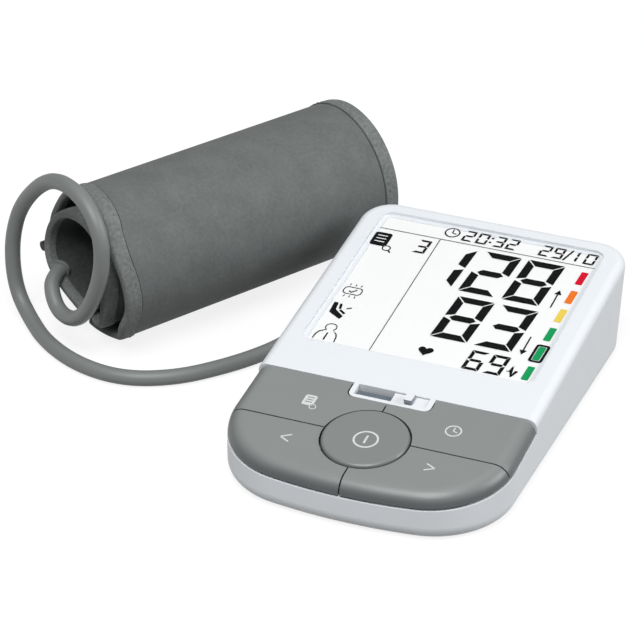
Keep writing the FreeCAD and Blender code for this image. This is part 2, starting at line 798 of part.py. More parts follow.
node("display_lens", rounded_block(
    "display_lens", ("-window_half", "window_half"), ("window_front", "window_rear"),
    ("-(lens_thick + hair)", "-hair"), "window_round"))
LCD_S = ("window_front + lcd_inset", "window_rear - lcd_inset")
LCD_FOOT = "-(lcd_drop + lcd_thick)"
HOLDER_FOOT = "%s - seat_gap - holder_plate" % LCD_FOOT
IN_HOLDER = "%s + holder_plate / 2" % HOLDER_FOOT
node("lcd_panel", box("lcd_panel", ("-lcd_half", "lcd_half"), LCD_S, (LCD_FOOT, "-lcd_drop"), panel=True))


def around_lcd(name, spread, low, high):
    """A block that reaches beyond the glass cell's four sides."""
    return box(name, ("-(lcd_half + %s)" % spread, "lcd_half + %s" % spread),
               ("%s - (%s)" % (LCD_S[0], spread), "%s + %s" % (LCD_S[1], spread)), (low, high), panel=True)


holder_block = around_lcd("holder_block", "fit + holder_rim", HOLDER_FOOT, "-roof - seat_gap")
holder_pocket = around_lcd("holder_pocket", "fit", "%s - seat_gap" % LCD_FOOT, "roof")
STRIP_S = ("%s + connector_set" % LCD_S[0], "%s + connector_set + connector_width" % LCD_S[0])
STRIP_HALF = "lcd_half - connector_inset"
holder_slot = box(
    "holder_slot", ("-(%s + fit)" % STRIP_HALF, "%s + fit" % STRIP_HALF),
    ("%s - fit" % STRIP_S[0], "%s + fit" % STRIP_S[1]), ("-pcb_drop", "-roof"), panel=True)
holder_posts = board_rods("holder_post", BOARD_SCREWS[2:], "standoff_radius", "hair - pcb_drop", IN_HOLDER)
node("lcd_holder", cut(
    "lcd_holder",
    fuse("holder_with_posts", cut("holder_frame", holder_block, holder_pocket, holder_slot), *holder_posts),
    *board_rods("holder_pilot", BOARD_SCREWS[2:], "pcb_screw + hair", "-pcb_drop", IN_HOLDER)))
node("lcd_connector", box(
    "lcd_connector", ("-(%s)" % STRIP_HALF, STRIP_HALF), STRIP_S,
    ("hair - pcb_drop", "%s - hair" % LCD_FOOT), panel=True))

PCB_FOOT = "-(pcb_drop + pcb_thick)"
node("main_pcb", cut(
    "main_pcb",
    box("board", ("-pcb_half", "pcb_half"), ("pcb_front", "pcb_rear"), (PCB_FOOT, "-pcb_drop"), panel=True),
    *board_rods("board_hole", BOARD_SCREWS, "pcb_screw + seat_gap", "2 * (%s)" % PCB_FOOT, "0")))
shanks = board_rods("pcb_screw_shank", BOARD_SCREWS, "pcb_screw",
                    "%s - pcb_screw_head / 2" % PCB_FOOT, "pcb_screw_reach - pcb_drop")
heads = board_rods("pcb_screw_head", BOARD_SCREWS, "2 * pcb_screw",
                   "%s - hair - pcb_screw_head" % PCB_FOOT, "%s - hair" % PCB_FOOT)
node("pcb_screws", group("pcb_screws", *[
    fuse(shank.Name + "_whole", shank, head) for shank, head in zip(shanks, heads)]))


# ---- keys -----------------------------------------------------------------------------------

MAT_TOP = "%s - seat_gap" % DECK_FOOT
MAT_FOOT = "%s - mat_thick" % MAT_TOP
mat_sheet = box(
    "mat_sheet", ("-mat_half", "mat_half"), ("mat_front", "mat_rear"), (MAT_FOOT, MAT_TOP), panel=True)
node("key_mat", fuse(
    "key_mat", mat_sheet,
    *plungers("dome", "plunger_radius", "%s + mat_thick / 2" % MAT_FOOT, DECK_TOP),
    *plungers("carbon_pill", "pill_radius", "%s - pill_thick" % MAT_FOOT, MAT_TOP)))

KEY_FOOT = "-key_skirt"
key_block = cut("key_block", body_block("key_trunk", "key_inset"), above_panel("over_key_block", "0"))
key_blank = rounded("key_blank", key_block, "key_round", lambda edge: on_panel(edge, "0"))
key_field = common("key_field", key_blank, slab(
    "key_layer", "roof", KEY_FOOT, s=("-2 * front_reach", "key_border - key_gap")))
key_under = common("key_under", body_block("key_under_block", "key_inset + key_wall"), slab(
    "key_under_layer", "-key_skin", "2 * (%s)" % KEY_FOOT, s=("-2 * front_reach", "key_border + wall")))
start_hole = rod(
    "start_hole", "start_radius + key_gap", ABOVE, ("0", "start_centre", "-block_height"), panel=True)
key_caps = cut("key_caps", key_field, key_under, start_hole, tab("tab_space", "key_gap"))
LEFT_HALF = ("-2 * half_width", "-key_gap / 2")
RIGHT_HALF = ("key_gap / 2", "2 * half_width")
REAR_ROW = ("key_split + key_gap / 2", "0")
FRONT_ROW = ("-2 * front_reach", "key_split - key_gap / 2")
QUARTERS = {
    "memory_key": (LEFT_HALF, REAR_ROW),
    "clock_key": (RIGHT_HALF, REAR_ROW),
    "back_key": (LEFT_HALF, FRONT_ROW),
    "forward_key": (RIGHT_HALF, FRONT_ROW),
}
PLUNGER = "key_skirt - key_skin / 2"
for name, (x, s) in QUARTERS.items():
    side, post_x, post_s = KEYS[name]
    post = rod(name + "_plunger", "plunger_radius", PLUNGER,
               ("%d * %s" % (side, post_x), post_s, KEY_FOOT), panel=True)
    quarter = slab(name + "_quarter", "block_height", "-block_height", x, s)
    node(name, fuse(name, common(name + "_cap", key_caps, quarter), post))

START_FOOT = ("0", "start_centre", KEY_FOOT)
start_blank = rod("start_blank", "start_radius", "key_skirt + start_rise", START_FOOT, panel=True)
start_disc = rounded("start_disc", start_blank, "start_round", lambda edge: on_panel(edge, "start_rise"))
start_under = rod("start_under", "start_radius - key_wall", "key_skirt - key_skin + wall",
                  ("0", "start_centre", "%s - wall" % KEY_FOOT), panel=True)
node("start_stop_button", fuse(
    "start_stop_button", cut("start_cap", start_disc, start_under),
    rod("start_plunger", "plunger_radius", PLUNGER, START_FOOT, panel=True)))


# ---- user switch ----------------------------------------------------------------------------

SLOT_FRONT, SLOT_REAR = SLOT
SLIDER_TOP = "-slider_drop"
SLIDER_FOOT = "%s - slider_thick" % SLIDER_TOP
WEB = ("%s - fit - web_thick" % SLOT_REAR, "%s - fit" % SLOT_REAR)
node("switch_window", box(
    "switch_window", ("-(slot_half - 2 * seat_gap)", "slot_half - 2 * seat_gap"),
    ("%s + 2 * seat_gap" % SLOT_FRONT, "%s - fit" % WEB[0]),
    ("%s - fit - smoke_thick" % SLIDER_FOOT, "%s - fit" % SLIDER_FOOT), panel=True))
shuttle = box("shuttle", ("slider_place - slider_half", "slider_place + slider_half"),
              ("%s + fit" % SLOT_FRONT, "%s - fit" % SLOT_REAR), (SLIDER_FOOT, SLIDER_TOP), panel=True)
nub = rounded_block("nub", ("slider_place - nub_half", "slider_place + nub_half"),
                    ("%s + 2 * fit" % SLOT_FRONT, "%s - 3 * fit" % SLOT_REAR),
                    (SLIDER_FOOT, "%s + nub_rise" % SLIDER_TOP), "nub_round")
web = box("slider_web", ("slider_place - web_half", "slider_place + web_half"), WEB,
          ("%s + 2 * seat_gap" % DECK_FOOT, "%s + slider_thick / 2" % SLIDER_FOOT), panel=True)
node("user_slider", fuse("user_slider", shuttle, nub, web))
node("user_switch", box(
    "user_switch", ("-switch_half", "switch_half"),
    ("%s - switch_reach" % SLOT_REAR, "%s + switch_reach" % SLOT_REAR),
    ("hair - pcb_drop", "%s - seat_gap" % DECK_FOOT), panel=True))


# ---- air system -----------------------------------------------------------------------------

PUMP_AXIS = ("pump_depth", "pump_level")
MANIFOLD = ("manifold_left", "manifold_left + manifold_thick")
MOTOR_END = "pump_left + pump_head + pump_motor - motor_boss"
node("pump_head", fuse(
    "pump_head",
    rod("pump_head_case", "pump_radius", "pump_head", ("pump_left", *PUMP_AXIS), "x"),
    rod("pump_nipple", "tube_radius", "pump_left - manifold_left - manifold_thick",
        (MANIFOLD[1], "pump_depth", "pump_level + nipple_rise"), "x")))
node("pump_motor", fuse(
    "pump_motor",
    rod("motor_case", "pump_radius - motor_step", "pump_motor - motor_boss",
        ("pump_left + pump_head", *PUMP_AXIS), "x"),
    rod("motor_boss", "motor_boss_radius", "motor_boss", (MOTOR_END, *PUMP_AXIS), "x")))
MANIFOLD_TOP = "tube_level + manifold_rise"
node("air_manifold", fuse(
    "air_manifold",
    box("manifold_foot", MANIFOLD, ("socket_depth - manifold_front", "socket_depth + manifold_rear"),
        ("socket_level - manifold_drop", MANIFOLD_TOP)),
    box("manifold_arm", MANIFOLD, ("socket_depth + manifold_rear / 2", "tube_depth + arm_reach"),
        ("tube_level - arm_drop", MANIFOLD_TOP))))
node("valve_tube", cut(
    "valve_tube",
    rod("valve_tube_skin", "tube_radius", "valve_left - manifold_left - manifold_thick",
        (MANIFOLD[1], "tube_depth", "tube_level"), "x"),
    rod("valve_tube_bore", "tube_bore", "valve_left - manifold_left + wall",
        ("manifold_left", "tube_depth", "tube_level"), "x")))
node("release_valve", fuse(
    "release_valve",
    rod("valve_case", "valve_radius", "valve_length", ("valve_left", "valve_depth", "tube_level"), "x"),
    rod("valve_cap", "valve_radius - valve_cap", "valve_cap",
        ("valve_left + valve_length", "valve_depth", "tube_level"), "x")))
node("pressure_sensor", box(
    "pressure_sensor", ("sensor_left", "sensor_left + sensor_size"),
    ("sensor_rear - sensor_size", "sensor_rear"), ("tube_level - sensor_drop", "tube_level + sensor_rise")))
SENSOR_X = "manifold_left + manifold_thick / 2"
node("sensor_tube", cut(
    "sensor_tube",
    rod("sensor_tube_skin", "thin_tube", "socket_depth - manifold_front - sensor_rear",
        (SENSOR_X, "sensor_rear", "tube_level"), "y"),
    rod("sensor_tube_bore", "tube_bore", "socket_depth",
        (SENSOR_X, "sensor_rear - wall", "tube_level"), "y")))
node("buzzer", rod("buzzer", "buzzer_radius", "buzzer_thick", (
    "buzzer_x", "buzzer_s", "%s - buzzer_thick - hair" % PCB_FOOT), panel=True))

SOCKET_OUT = "half_width + socket_lip"
SOCKET_AXIS = ("socket_depth", "socket_level")
node("cuff_socket", cut(
    "cuff_socket",
    fuse("socket_blank",
         rod("socket_tube", "socket_radius - seat_gap", "%s + manifold_left" % SOCKET_OUT,
             ("-(%s)" % SOCKET_OUT, *SOCKET_AXIS), "x"),
         rod("socket_flange", "socket_flange", "flange_thick",
             ("-(half_width - wall - 2 * seat_gap)", *SOCKET_AXIS), "x")),
    rod("socket_bore", "socket_bore", "plug_reach + 2 * bore_spare",
        ("-(%s) - bore_spare" % SOCKET_OUT, *SOCKET_AXIS), "x"),
    rod("socket_passage", "passage_radius", "half_width", ("-(%s)" % SOCKET_OUT, *SOCKET_AXIS), "x")))

# the plug turns the hose from along the housing's side into the socket
PLUG_X = "-(half_width + plug_axis)"
PLUG_END = "%s - plug_radius" % PLUG_X
PLUG_NECK = "plug_radius - plug_step"
plug_head = rod("plug_head", "plug_radius", "plug_axis + plug_radius - socket_lip - plug_stand",
                (PLUG_END, *SOCKET_AXIS), "x")
plug_head = rounded("plug_head_round", plug_head, "plug_round", lambda edge: (
    len(edge.Vertexes) == 1 and abs(edge.Vertexes[0].X - number(PLUG_END)) < TOUCH))
node("hose_plug", fuse(
    "hose_plug", plug_head,
    rod("plug_spigot", "socket_bore - plug_clearance", "plug_reach + 3 * plug_stand",
        ("-(half_width + socket_lip + 2 * plug_stand)", *SOCKET_AXIS), "x"),
    rod("plug_stem", PLUG_NECK, "plug_tail / 2",
        (PLUG_X, "socket_depth - plug_tail / 2", "socket_level"), "y"),
    cone("plug_sleeve", "hose_radius + sleeve_wall", PLUG_NECK, "plug_tail / 2",
         (PLUG_X, "socket_depth - plug_tail", "socket_level"), "y")))


# ---- hose -----------------------------------------------------------------------------------

def hose_path(points):
    """Straight runs joined by tangent arcs, each as large as its two runs allow."""
    corner_points = [FreeCAD.Vector(*p) for p in points]
    edges = []
    length = 0.0
    last = corner_points[0]
    for before, corner, after in zip(corner_points, corner_points[1:], corner_points[2:]):
        incoming = corner - before
        outgoing = after - corner
        reach = ARC_SHARE * min(incoming.Length, outgoing.Length)
        turn = incoming.getAngle(outgoing)
        radius = reach / math.tan(turn / 2)
        incoming.normalize()
        outgoing.normalize()
        start = corner - incoming * reach
        end = corner + outgoing * reach
        bisector = (outgoing - incoming).normalize()
        middle = corner + bisector * (radius / math.cos(turn / 2) - radius)
        edges.append(Part.LineSegment(last, start).toShape())
        edges.append(Part.Arc(start, middle, end).toShape())
        length += last.distanceToPoint(start) + radius * turn
        last = end
        print("hose turn %.0f degrees, radius %.1f mm" % (math.degrees(turn), radius))
    edges.append(Part.LineSegment(last, corner_points[-1]).toShape())
    length += last.distanceToPoint(corner_points[-1])
    return Part.Wire(edges), length


hose_wire, hose_length = hose_path(HOSE_POINTS)
first_run = FreeCAD.Vector(*HOSE_POINTS[1]) - FreeCAD.Vector(*HOSE_POINTS[0])
section = Part.Wire(Part.makeCircle(number("hose_radius"), FreeCAD.Vector(*HOSE_POINTS[0]), first_run))
hose = doc.addObject("Part::Feature", "air_hose")
hose.Shape = hose_wire.makePipeShell([section], True, True)
print("hose %.1f mm long, volume %.0f of %.0f mm3" % (
    hose_length, hose.Shape.Volume, math.pi * number("hose_radius") ** 2 * hose_length))
node("air_hose", hose)


# ---- cuff -----------------------------------------------------------------------------------

CUFF = FreeCAD.Placement(
    FreeCAD.Vector(number("cuff_x"), number("cuff_y"), 0),
    FreeCAD.Rotation(FreeCAD.Vector(0, 0, 1), number("cuff_heading")))


def roll_arcs():
    """The band's mid-line, from its outer end inwards: centre, radius, first and last angle.

    Seen along the cuff's axis with its left to the right, each arc starts where the last one
    ends, and their centres lie on one level, so they meet smoothly.
    """
    outer = number("roll_radius - band_thick / 2")
    low = number("inner_low")
    high = number("inner_high")
    low_centre = outer - low
    high_centre = low_centre - low + high
    return [
        (0.0, outer, number("flap_end"), -360.0),
        (low_centre, low, 0.0, -180.0),
        (high_centre, high, 180.0, number("band_end")),
    ]


def strip(low, high, first_x, last_x, arcs):
    """A layer of the rolled band between two offsets from its mid-line and two places along the cuff."""
    level = number("roll_radius")

    def point(centre, radius, angle):
        turn = math.radians(angle)
        return FreeCAD.Vector(first_x, centre + radius * math.cos(turn), level + radius * math.sin(turn))

    def side(offset):
        edges = []
        for centre, radius, first, last in arcs:
            for start, end in ((first, (first + last) / 2), ((first + last) / 2, last)):
                edges.append(Part.Arc(
                    point(centre, radius + offset, start),
                    point(centre, radius + offset, (start + end) / 2),
                    point(centre, radius + offset, end)).toShape())
        return edges

    outside, inside = side(high), side(low)
    caps = [Part.LineSegment(point(a[0], a[1] + low, angle), point(a[0], a[1] + high, angle)).toShape()
            for a, angle in ((arcs[0], arcs[0][2]), (arcs[-1], arcs[-1][3]))]
    wire = Part.Wire(Part.__sortEdges__(outside + inside + caps))
    return Part.Face(wire).extrude(FreeCAD.Vector(last_x - first_x, 0, 0))


def soft_node(label, shape):
    """A node of the cuff, made in the cuff's own frame and then laid on the surface."""
    piece = doc.addObject("Part::Feature", label)
    piece.Shape = shape
    piece.Placement = CUFF
    return node(label, piece)


def cuff_rod(radius, first_x, last_x, left, height):
    """A round piece along the cuff's axis."""
    start = FreeCAD.Vector(first_x, left, height)
    return Part.makeCylinder(radius, last_x - first_x, start, FreeCAD.Vector(1, 0, 0))


arcs = roll_arcs()
length = number("cuff_length")
edge = number("binding_width")
gap = number("soft_gap")
half_band = number("band_thick / 2")
fabric = number("fabric_thick")
soft_node("cuff_cover", strip(half_band - fabric, half_band, edge + gap, length - edge - gap, arcs))
soft_node("cuff_lining", strip(-half_band, fabric - half_band, edge + gap, length - edge - gap, arcs))
bladder_edge = edge + number("bladder_inset")
soft_node("air_bladder", strip(
    fabric - half_band + gap / 2, half_band - fabric - gap / 2, bladder_edge, length - bladder_edge,
    [(*arcs[1][:2], number("bladder_start"), arcs[1][3]),
     (*arcs[2][:3], arcs[2][3] + number("bladder_margin"))]))
soft_node("front_binding", strip(-half_band, half_band, 0, edge, arcs))
soft_node("rear_binding", strip(-half_band, half_band, length - edge, length, arcs))

# hook tape inside the outer turn, which holds the roll closed
outer_centre, outer_radius = arcs[0][:2]
patch_top = -half_band - gap
patch_edge = edge + number("patch_inset")
soft_node("fastener_patch", strip(
    patch_top - number("patch_thick"), patch_top, patch_edge, length - patch_edge,
    [(outer_centre, outer_radius, number("patch_start"), number("patch_end"))]))

# bar between the turns, in its sewn sleeve
inner_left = arcs[2][0] + arcs[2][1]
bar_left = (outer_radius + inner_left) / 2
level = number("roll_radius")
bar = number("bar_radius")
cap = bar + number("cap_wall")
overhang = number("bar_overhang")
sleeve_bore = bar + gap / 2
soft_node("cuff_bar", cuff_rod(bar, 0, length, bar_left, level))
soft_node("bar_caps", Part.Compound([
    cuff_rod(cap, -overhang, 0, bar_left, level),
    cuff_rod(cap, length, length + overhang, bar_left, level)]))
soft_node("bar_loop", cuff_rod(sleeve_bore + number("loop_thick"), gap, length - gap, bar_left, level).cut(
    cuff_rod(sleeve_bore, 0, length, bar_left, level)))

# collar on the hose's end, in the cuff's mouth
port = doc.addObject("Part::Feature", "hose_port")
hose_start = FreeCAD.Vector(*HOSE_POINTS[0])
port.Shape = Part.makeCylinder(
    number("hose_radius + collar_wall"), number("port_length"), hose_start, first_run * -1)
node("hose_port", port)


# ---- check and write ------------------------------------------------------------------------

doc.recompute()
for thing in doc.Objects:
    if "Invalid" in thing.State or "Error" in thing.State:
        raise RuntimeError("%s failed: %s" % (thing.Name, thing.State))
os.makedirs("parts", exist_ok=True)
for piece in nodes:
    shape = piece.Shape
    if shape.isNull() or not shape.isValid() or not shape.Solids:
        raise RuntimeError("%s has no valid solid" % piece.Label)
    shape.exportStep("parts/%s.step" % piece.Label)
    print("%-20s solids %d  volume %.0f mm3" % (piece.Label, len(shape.Solids), shape.Volume))
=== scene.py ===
import json
import math

import bmesh
import bpy
from mathutils import Matrix, Vector


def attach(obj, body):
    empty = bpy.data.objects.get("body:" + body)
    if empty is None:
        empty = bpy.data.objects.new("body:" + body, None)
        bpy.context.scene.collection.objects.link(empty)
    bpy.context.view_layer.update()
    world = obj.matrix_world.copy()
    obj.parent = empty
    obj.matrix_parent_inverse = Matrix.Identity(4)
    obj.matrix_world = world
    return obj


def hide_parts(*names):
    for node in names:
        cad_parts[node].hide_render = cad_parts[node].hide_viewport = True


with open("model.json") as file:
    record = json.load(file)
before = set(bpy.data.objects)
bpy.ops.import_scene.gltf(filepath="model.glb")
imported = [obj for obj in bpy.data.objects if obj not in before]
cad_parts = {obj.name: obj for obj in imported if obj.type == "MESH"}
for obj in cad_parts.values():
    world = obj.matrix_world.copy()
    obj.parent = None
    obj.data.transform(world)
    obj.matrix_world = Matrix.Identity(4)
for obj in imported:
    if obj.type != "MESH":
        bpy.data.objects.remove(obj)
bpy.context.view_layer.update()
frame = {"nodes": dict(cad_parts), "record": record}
nodes = frame["nodes"]
print("frame loaded with %d nodes" % len(nodes))


# small helpers

def mm(value):
    return value / 1000


mergeGap = mm(0.001)            # points nearer to each other than this are one point


def deselectAll():
    if bpy.context.object and bpy.context.object.mode != "OBJECT":
        bpy.ops.object.mode_set(mode="OBJECT")
    bpy.ops.object.select_all(action="DESELECT")


def makeActive(piece):
    deselectAll()
    piece.select_set(True)
    bpy.context.view_layer.objects.active = piece


# one level of subdivision, after what the piece has already, and all of it applied
def smoothAndApply(piece):
    smooth = piece.modifiers.new("smooth", "SUBSURF")
    smooth.levels = smooth.render_levels = 1
    makeActive(piece)
    for modifier in list(piece.modifiers):
        bpy.ops.object.modifier_apply(modifier=modifier.name)


def finishPiece(piece, name, body, finish):
    piece.name = name
    piece.data.name = name
    piece.data.materials.clear()
    piece.data.materials.append(finish)
    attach(piece, body)
    return piece


# cloth gives each point's place on the flat cloth, for the weave
def meshPiece(name, points, faces, place, cloth=None):
    mesh = bpy.data.meshes.new(name)
    mesh.from_pydata([place @ Vector(p) for p in points], [], faces)
    if cloth:
        layer = mesh.uv_layers.new(name="cloth")
        for loop in mesh.loops:
            layer.data[loop.index].uv = cloth[loop.vertex_index]
    piece = bpy.data.objects.new(name, mesh)
    bpy.context.scene.collection.objects.link(piece)
    mesh.shade_smooth()
    return piece


# points that lie on each other become one, so that the faces join and can be turned outwards
def faceOutwards(piece):
    mesh = bmesh.new()
    mesh.from_mesh(piece.data)
    bmesh.ops.remove_doubles(mesh, verts=mesh.verts, dist=mergeGap)
    bmesh.ops.recalc_face_normals(mesh, faces=mesh.faces)
    mesh.to_mesh(piece.data)
    mesh.free()


# finishes

# a Mix node has several sockets of each name, so its colour sockets go by number
mixFirst, mixSecond, mixColour = 6, 7, 2


# sRGB as it is written to the linear light that shaders take
def linearColour(hexCode):
    channels = [int(hexCode[i:i + 2], 16) / 255 for i in (1, 3, 5)]
    return [c / 12.92 if c <= 0.04045 else ((c + 0.055) / 1.055) ** 2.4 for c in channels] + [1.0]


# settings and links go by the name of a property or socket, or by a socket's number
def addNode(tree, kind, settings=None, links=None):
    node = tree.nodes.new(kind)
    for key, value in (settings or {}).items():
        if isinstance(key, str) and hasattr(node, key):
            setattr(node, key, value)
        else:
            node.inputs[key].default_value = value
    for key, source in (links or {}).items():
        tree.links.new(source, node.inputs[key])
    return node


def newFinish(name, **settings):
    finish = bpy.data.materials.new(name)
    finish.use_nodes = True
    shader = finish.node_tree.nodes["Principled BSDF"]
    for key, value in settings.items():
        shader.inputs[key.replace("_", " ")].default_value = value
    return finish, finish.node_tree, shader


# moulded plastic: a faint cloud between two close tones, and the fine grain of the mould, which
# roughens the gloss a little and breaks up its highlights
moulding = {
    "ior": 1.54,
    "cloudSize": mm(18),
    "glossSpread": 0.05,        # either way from the roughness
    "bumpStrength": 0.5,
}


def mouldedPlastic(name, colour, shade, roughness, grain, depth):
    finish, tree, shader = newFinish(name, Roughness=roughness, IOR=moulding["ior"])
    place = addNode(tree, "ShaderNodeTexCoord").outputs["Object"]
    cloud = addNode(tree, "ShaderNodeTexNoise", {"Scale": 1 / moulding["cloudSize"], "Detail": 3.0},
                    {"Vector": place})
    tint = addNode(tree, "ShaderNodeMix", {
        "data_type": "RGBA", mixFirst: linearColour(colour), mixSecond: linearColour(shade)},
        {"Factor": cloud.outputs["Fac"]})
    tree.links.new(tint.outputs[mixColour], shader.inputs["Base Color"])
    pits = addNode(tree, "ShaderNodeTexNoise", {"Scale": 1 / mm(grain), "Detail": 2.0}, {"Vector": place})
    gloss = addNode(tree, "ShaderNodeMapRange", {
        "To Min": roughness - moulding["glossSpread"], "To Max": roughness + moulding["glossSpread"]},
        {"Value": pits.outputs["Fac"]})
    tree.links.new(gloss.outputs["Result"], shader.inputs["Roughness"])
    bump = addNode(tree, "ShaderNodeBump", {"Strength": moulding["bumpStrength"], "Distance": mm(depth)},
                   {"Height": pits.outputs["Fac"]})
    tree.links.new(bump.outputs["Normal"], shader.inputs["Normal"])
    return finish


# name, two tones, roughness, then the grain's size and depth in millimetres
finishes = {
    # ABS with a satin mould grain: wide soft highlights on white
    "white_abs": mouldedPlastic("whiteAbs", "#e2e6ea", "#dfe3e7", 0.42, 0.6, 0.02),
    # high-impact polystyrene: warmer and duller than the housing's white
    "inner_white_plastic": mouldedPlastic("innerPolystyrene", "#e6e6e2", "#dededa", 0.5, 0.6, 0.02),
    # ABS keys: mid grey, just glossy enough for their shoulders to catch the lamp
    "grey_keycap": mouldedPlastic("greyKeyAbs", "#868a89", "#828685", 0.38, 0.5, 0.02),
    # the round button's ABS: a shade darker, with a tighter gloss
    "start_button_abs": mouldedPlastic("greyButtonAbs", "#808483", "#7c807f", 0.34, 0.5, 0.015),
    # the switch's ABS: cool white, fine grain
    "switch_slider_abs": mouldedPlastic("sliderAbs", "#e4e7ea", "#dfe2e5", 0.35, 0.5, 0.015),
    # filled nylon: near black and even
    "black_plastic": mouldedPlastic("blackNylon", "#161717", "#1c1d1d", 0.45, 0.5, 0.02),
    # the plug's nylon: grey as the hose, a little glossier
    "grey_plug_plastic": mouldedPlastic("greyPlugNylon", "#7c807f", "#777b7a", 0.4, 0.5, 0.02),
    # vulcanised rubber: dull, with a coarse tooth
    "foot_rubber": mouldedPlastic("footRubber", "#5c5f5f", "#575a5a", 0.8, 0.4, 0.04),
    # silicone rubber: milky, with a waxy gloss
    "silicone": mouldedPlastic("translucentSilicone", "#b9bab6", "#b2b3af", 0.55, 0.8, 0.01),
    # solder mask over glass fibre: even green gloss
    "circuit_board": mouldedPlastic("solderMask", "#1d6b3f", "#1a6339", 0.35, 1.2, 0.02),
    # shrunk film sleeve: smooth, with tight highlights
    "battery_jacket": mouldedPlastic("batterySleeve", "#28406f", "#253b67", 0.25, 1.5, 0.01),
    # welded polyurethane film: dark, with a slight gloss
    "bladder_tpu": mouldedPlastic("bladderFilm", "#3a3c3d", "#343637", 0.4, 1.0, 0.02),
    # extruded soft PVC: even grey with a silky gloss
    "grey_pvc": mouldedPlastic("greyPvcHose", "#7b7f7e", "#777b7a", 0.48, 0.5, 0.015),
}


# drawn or rolled metal: gloss that changes in fine streaks along the piece
metalStreaks = {"length": mm(4), "dull": 0.1, "bright": 0.08}


def metal(name, colour, roughness, grain):
    finish, tree, shader = newFinish(name, Metallic=1.0, Roughness=roughness)
    shader.inputs["Base Color"].default_value = linearColour(colour)
    place = addNode(tree, "ShaderNodeTexCoord").outputs["Object"]
    stretch = addNode(tree, "ShaderNodeMapping", {
        "Scale": (1 / metalStreaks["length"], 1 / mm(grain), 1 / mm(grain))}, {"Vector": place})
    drawn = addNode(tree, "ShaderNodeTexNoise", {"Scale": 1.0, "Detail": 3.0},
                    {"Vector": stretch.outputs["Vector"]})
    gloss = addNode(tree, "ShaderNodeMapRange", {
        "To Min": roughness - metalStreaks["bright"], "To Max": roughness + metalStreaks["dull"]},
        {"Value": drawn.outputs["Fac"]})
    tree.links.new(gloss.outputs["Result"], shader.inputs["Roughness"])
    return finish


# name, colour, roughness and the streaks' width in millimetres: plated screws are pale and cloudy,
# plated springs warmer and brighter, a deep-drawn can and cold-drawn wire duller
finishes["zinc_steel"] = metal("zincPlatedSteel", "#c9c9c4", 0.35, 0.3)
finishes["nickel_spring"] = metal("nickelledSpringSteel", "#d3cfc6", 0.28, 0.3)
finishes["motor_steel"] = metal("drawnSteelCan", "#bdbdbb", 0.4, 0.3)
finishes["steel_bar"] = metal("drawnSteelWire", "#a3a4a4", 0.35, 0.25)


# cast acrylic sheet: what lies under it shows as far as its tint allows, with the lamp's soft
# reflection on top
def clearAcrylic(name, colour, alpha, roughness):
    finish, _, shader = newFinish(name, Roughness=roughness, IOR=1.49, Alpha=alpha)
    shader.inputs["Base Color"].default_value = linearColour(colour)
    return finish


finishes["clear_acrylic"] = clearAcrylic("clearAcrylic", "#9a9da0", 0.012, 0.06)
finishes["smoked_acrylic"] = clearAcrylic("smokedAcrylic", "#69717a", 0.88, 0.12)
# the display's reflector behind its glass: even silvery white, without grain
finishes["lcd_glass"] = mouldedPlastic("reflectiveLcd", "#f1f2f2", "#eff0f0", 0.45, 2.0, 0.004)


# woven nylon: threads that cross over and under each other along the cloth's own length and width,
# a soft sheen at grazing angles, and a cloudy tone where the nap lies differently. The threads are
# drawn coarser than the real 0.4 mm, so that they can be told apart.
weave = {
    "ior": 1.5,
    "roughness": 0.82,
    "wavePeriod": 0.314,        # a Wave texture's at a scale of 1
    "cloudSize": mm(11),
    "speckSize": mm(1.5),
    "threadShare": 0.3,         # how much the threads count in the tone, where the clouds count 1
    # the tones' range: where it starts and ends without specks, and what they add to each
    "darkest": (0.35, 0.35),
    "palest": (0.8, 0.65),
    "bumpStrength": 0.6,
}


def wovenNylon(name, colour, shade, thread, depth, sheen, speckle):
    finish, tree, shader = newFinish(name, Roughness=weave["roughness"], IOR=weave["ior"],
                                     Sheen_Weight=sheen, Sheen_Roughness=0.5)
    place = addNode(tree, "ShaderNodeUVMap", {"uv_map": "cloth"}).outputs["UV"]
    rows = [addNode(tree, "ShaderNodeTexWave", {
        "bands_direction": side, "Scale": weave["wavePeriod"] / mm(thread), "Distortion": 0.6,
        "Detail": 1.0, "Detail Scale": 1.5}, {"Vector": place}).outputs["Fac"] for side in ("X", "Y")]
    cross = addNode(tree, "ShaderNodeMath", {"operation": "MULTIPLY"}, {0: rows[0], 1: rows[1]})
    cloud = addNode(tree, "ShaderNodeTexNoise", {
        "Scale": 1 / weave["cloudSize"], "Detail": 4.0, "Roughness": 0.6}, {"Vector": place})
    speck = addNode(tree, "ShaderNodeTexNoise", {"Scale": 1 / weave["speckSize"], "Detail": 3.0},
                    {"Vector": place})
    blend = addNode(tree, "ShaderNodeMath", {"operation": "MULTIPLY_ADD", 1: weave["threadShare"]},
                    {0: cross.outputs[0], 2: cloud.outputs["Fac"]})
    mottle = addNode(tree, "ShaderNodeMath", {"operation": "MULTIPLY_ADD", 1: speckle},
                     {0: speck.outputs["Fac"], 2: blend.outputs[0]})
    (low, lowSpecks), (high, highSpecks) = weave["darkest"], weave["palest"]
    spread = addNode(tree, "ShaderNodeMapRange", {
        "From Min": low + lowSpecks * speckle, "From Max": high + highSpecks * speckle},
        {"Value": mottle.outputs[0]})
    tint = addNode(tree, "ShaderNodeMix", {
        "data_type": "RGBA", mixFirst: linearColour(shade), mixSecond: linearColour(colour)},
        {"Factor": spread.outputs["Result"]})
    tree.links.new(tint.outputs[mixColour], shader.inputs["Base Color"])
    bump = addNode(tree, "ShaderNodeBump", {"Strength": weave["bumpStrength"], "Distance": mm(depth)},
                   {"Height": mottle.outputs[0]})
    tree.links.new(bump.outputs["Normal"], shader.inputs["Normal"])
    return finish


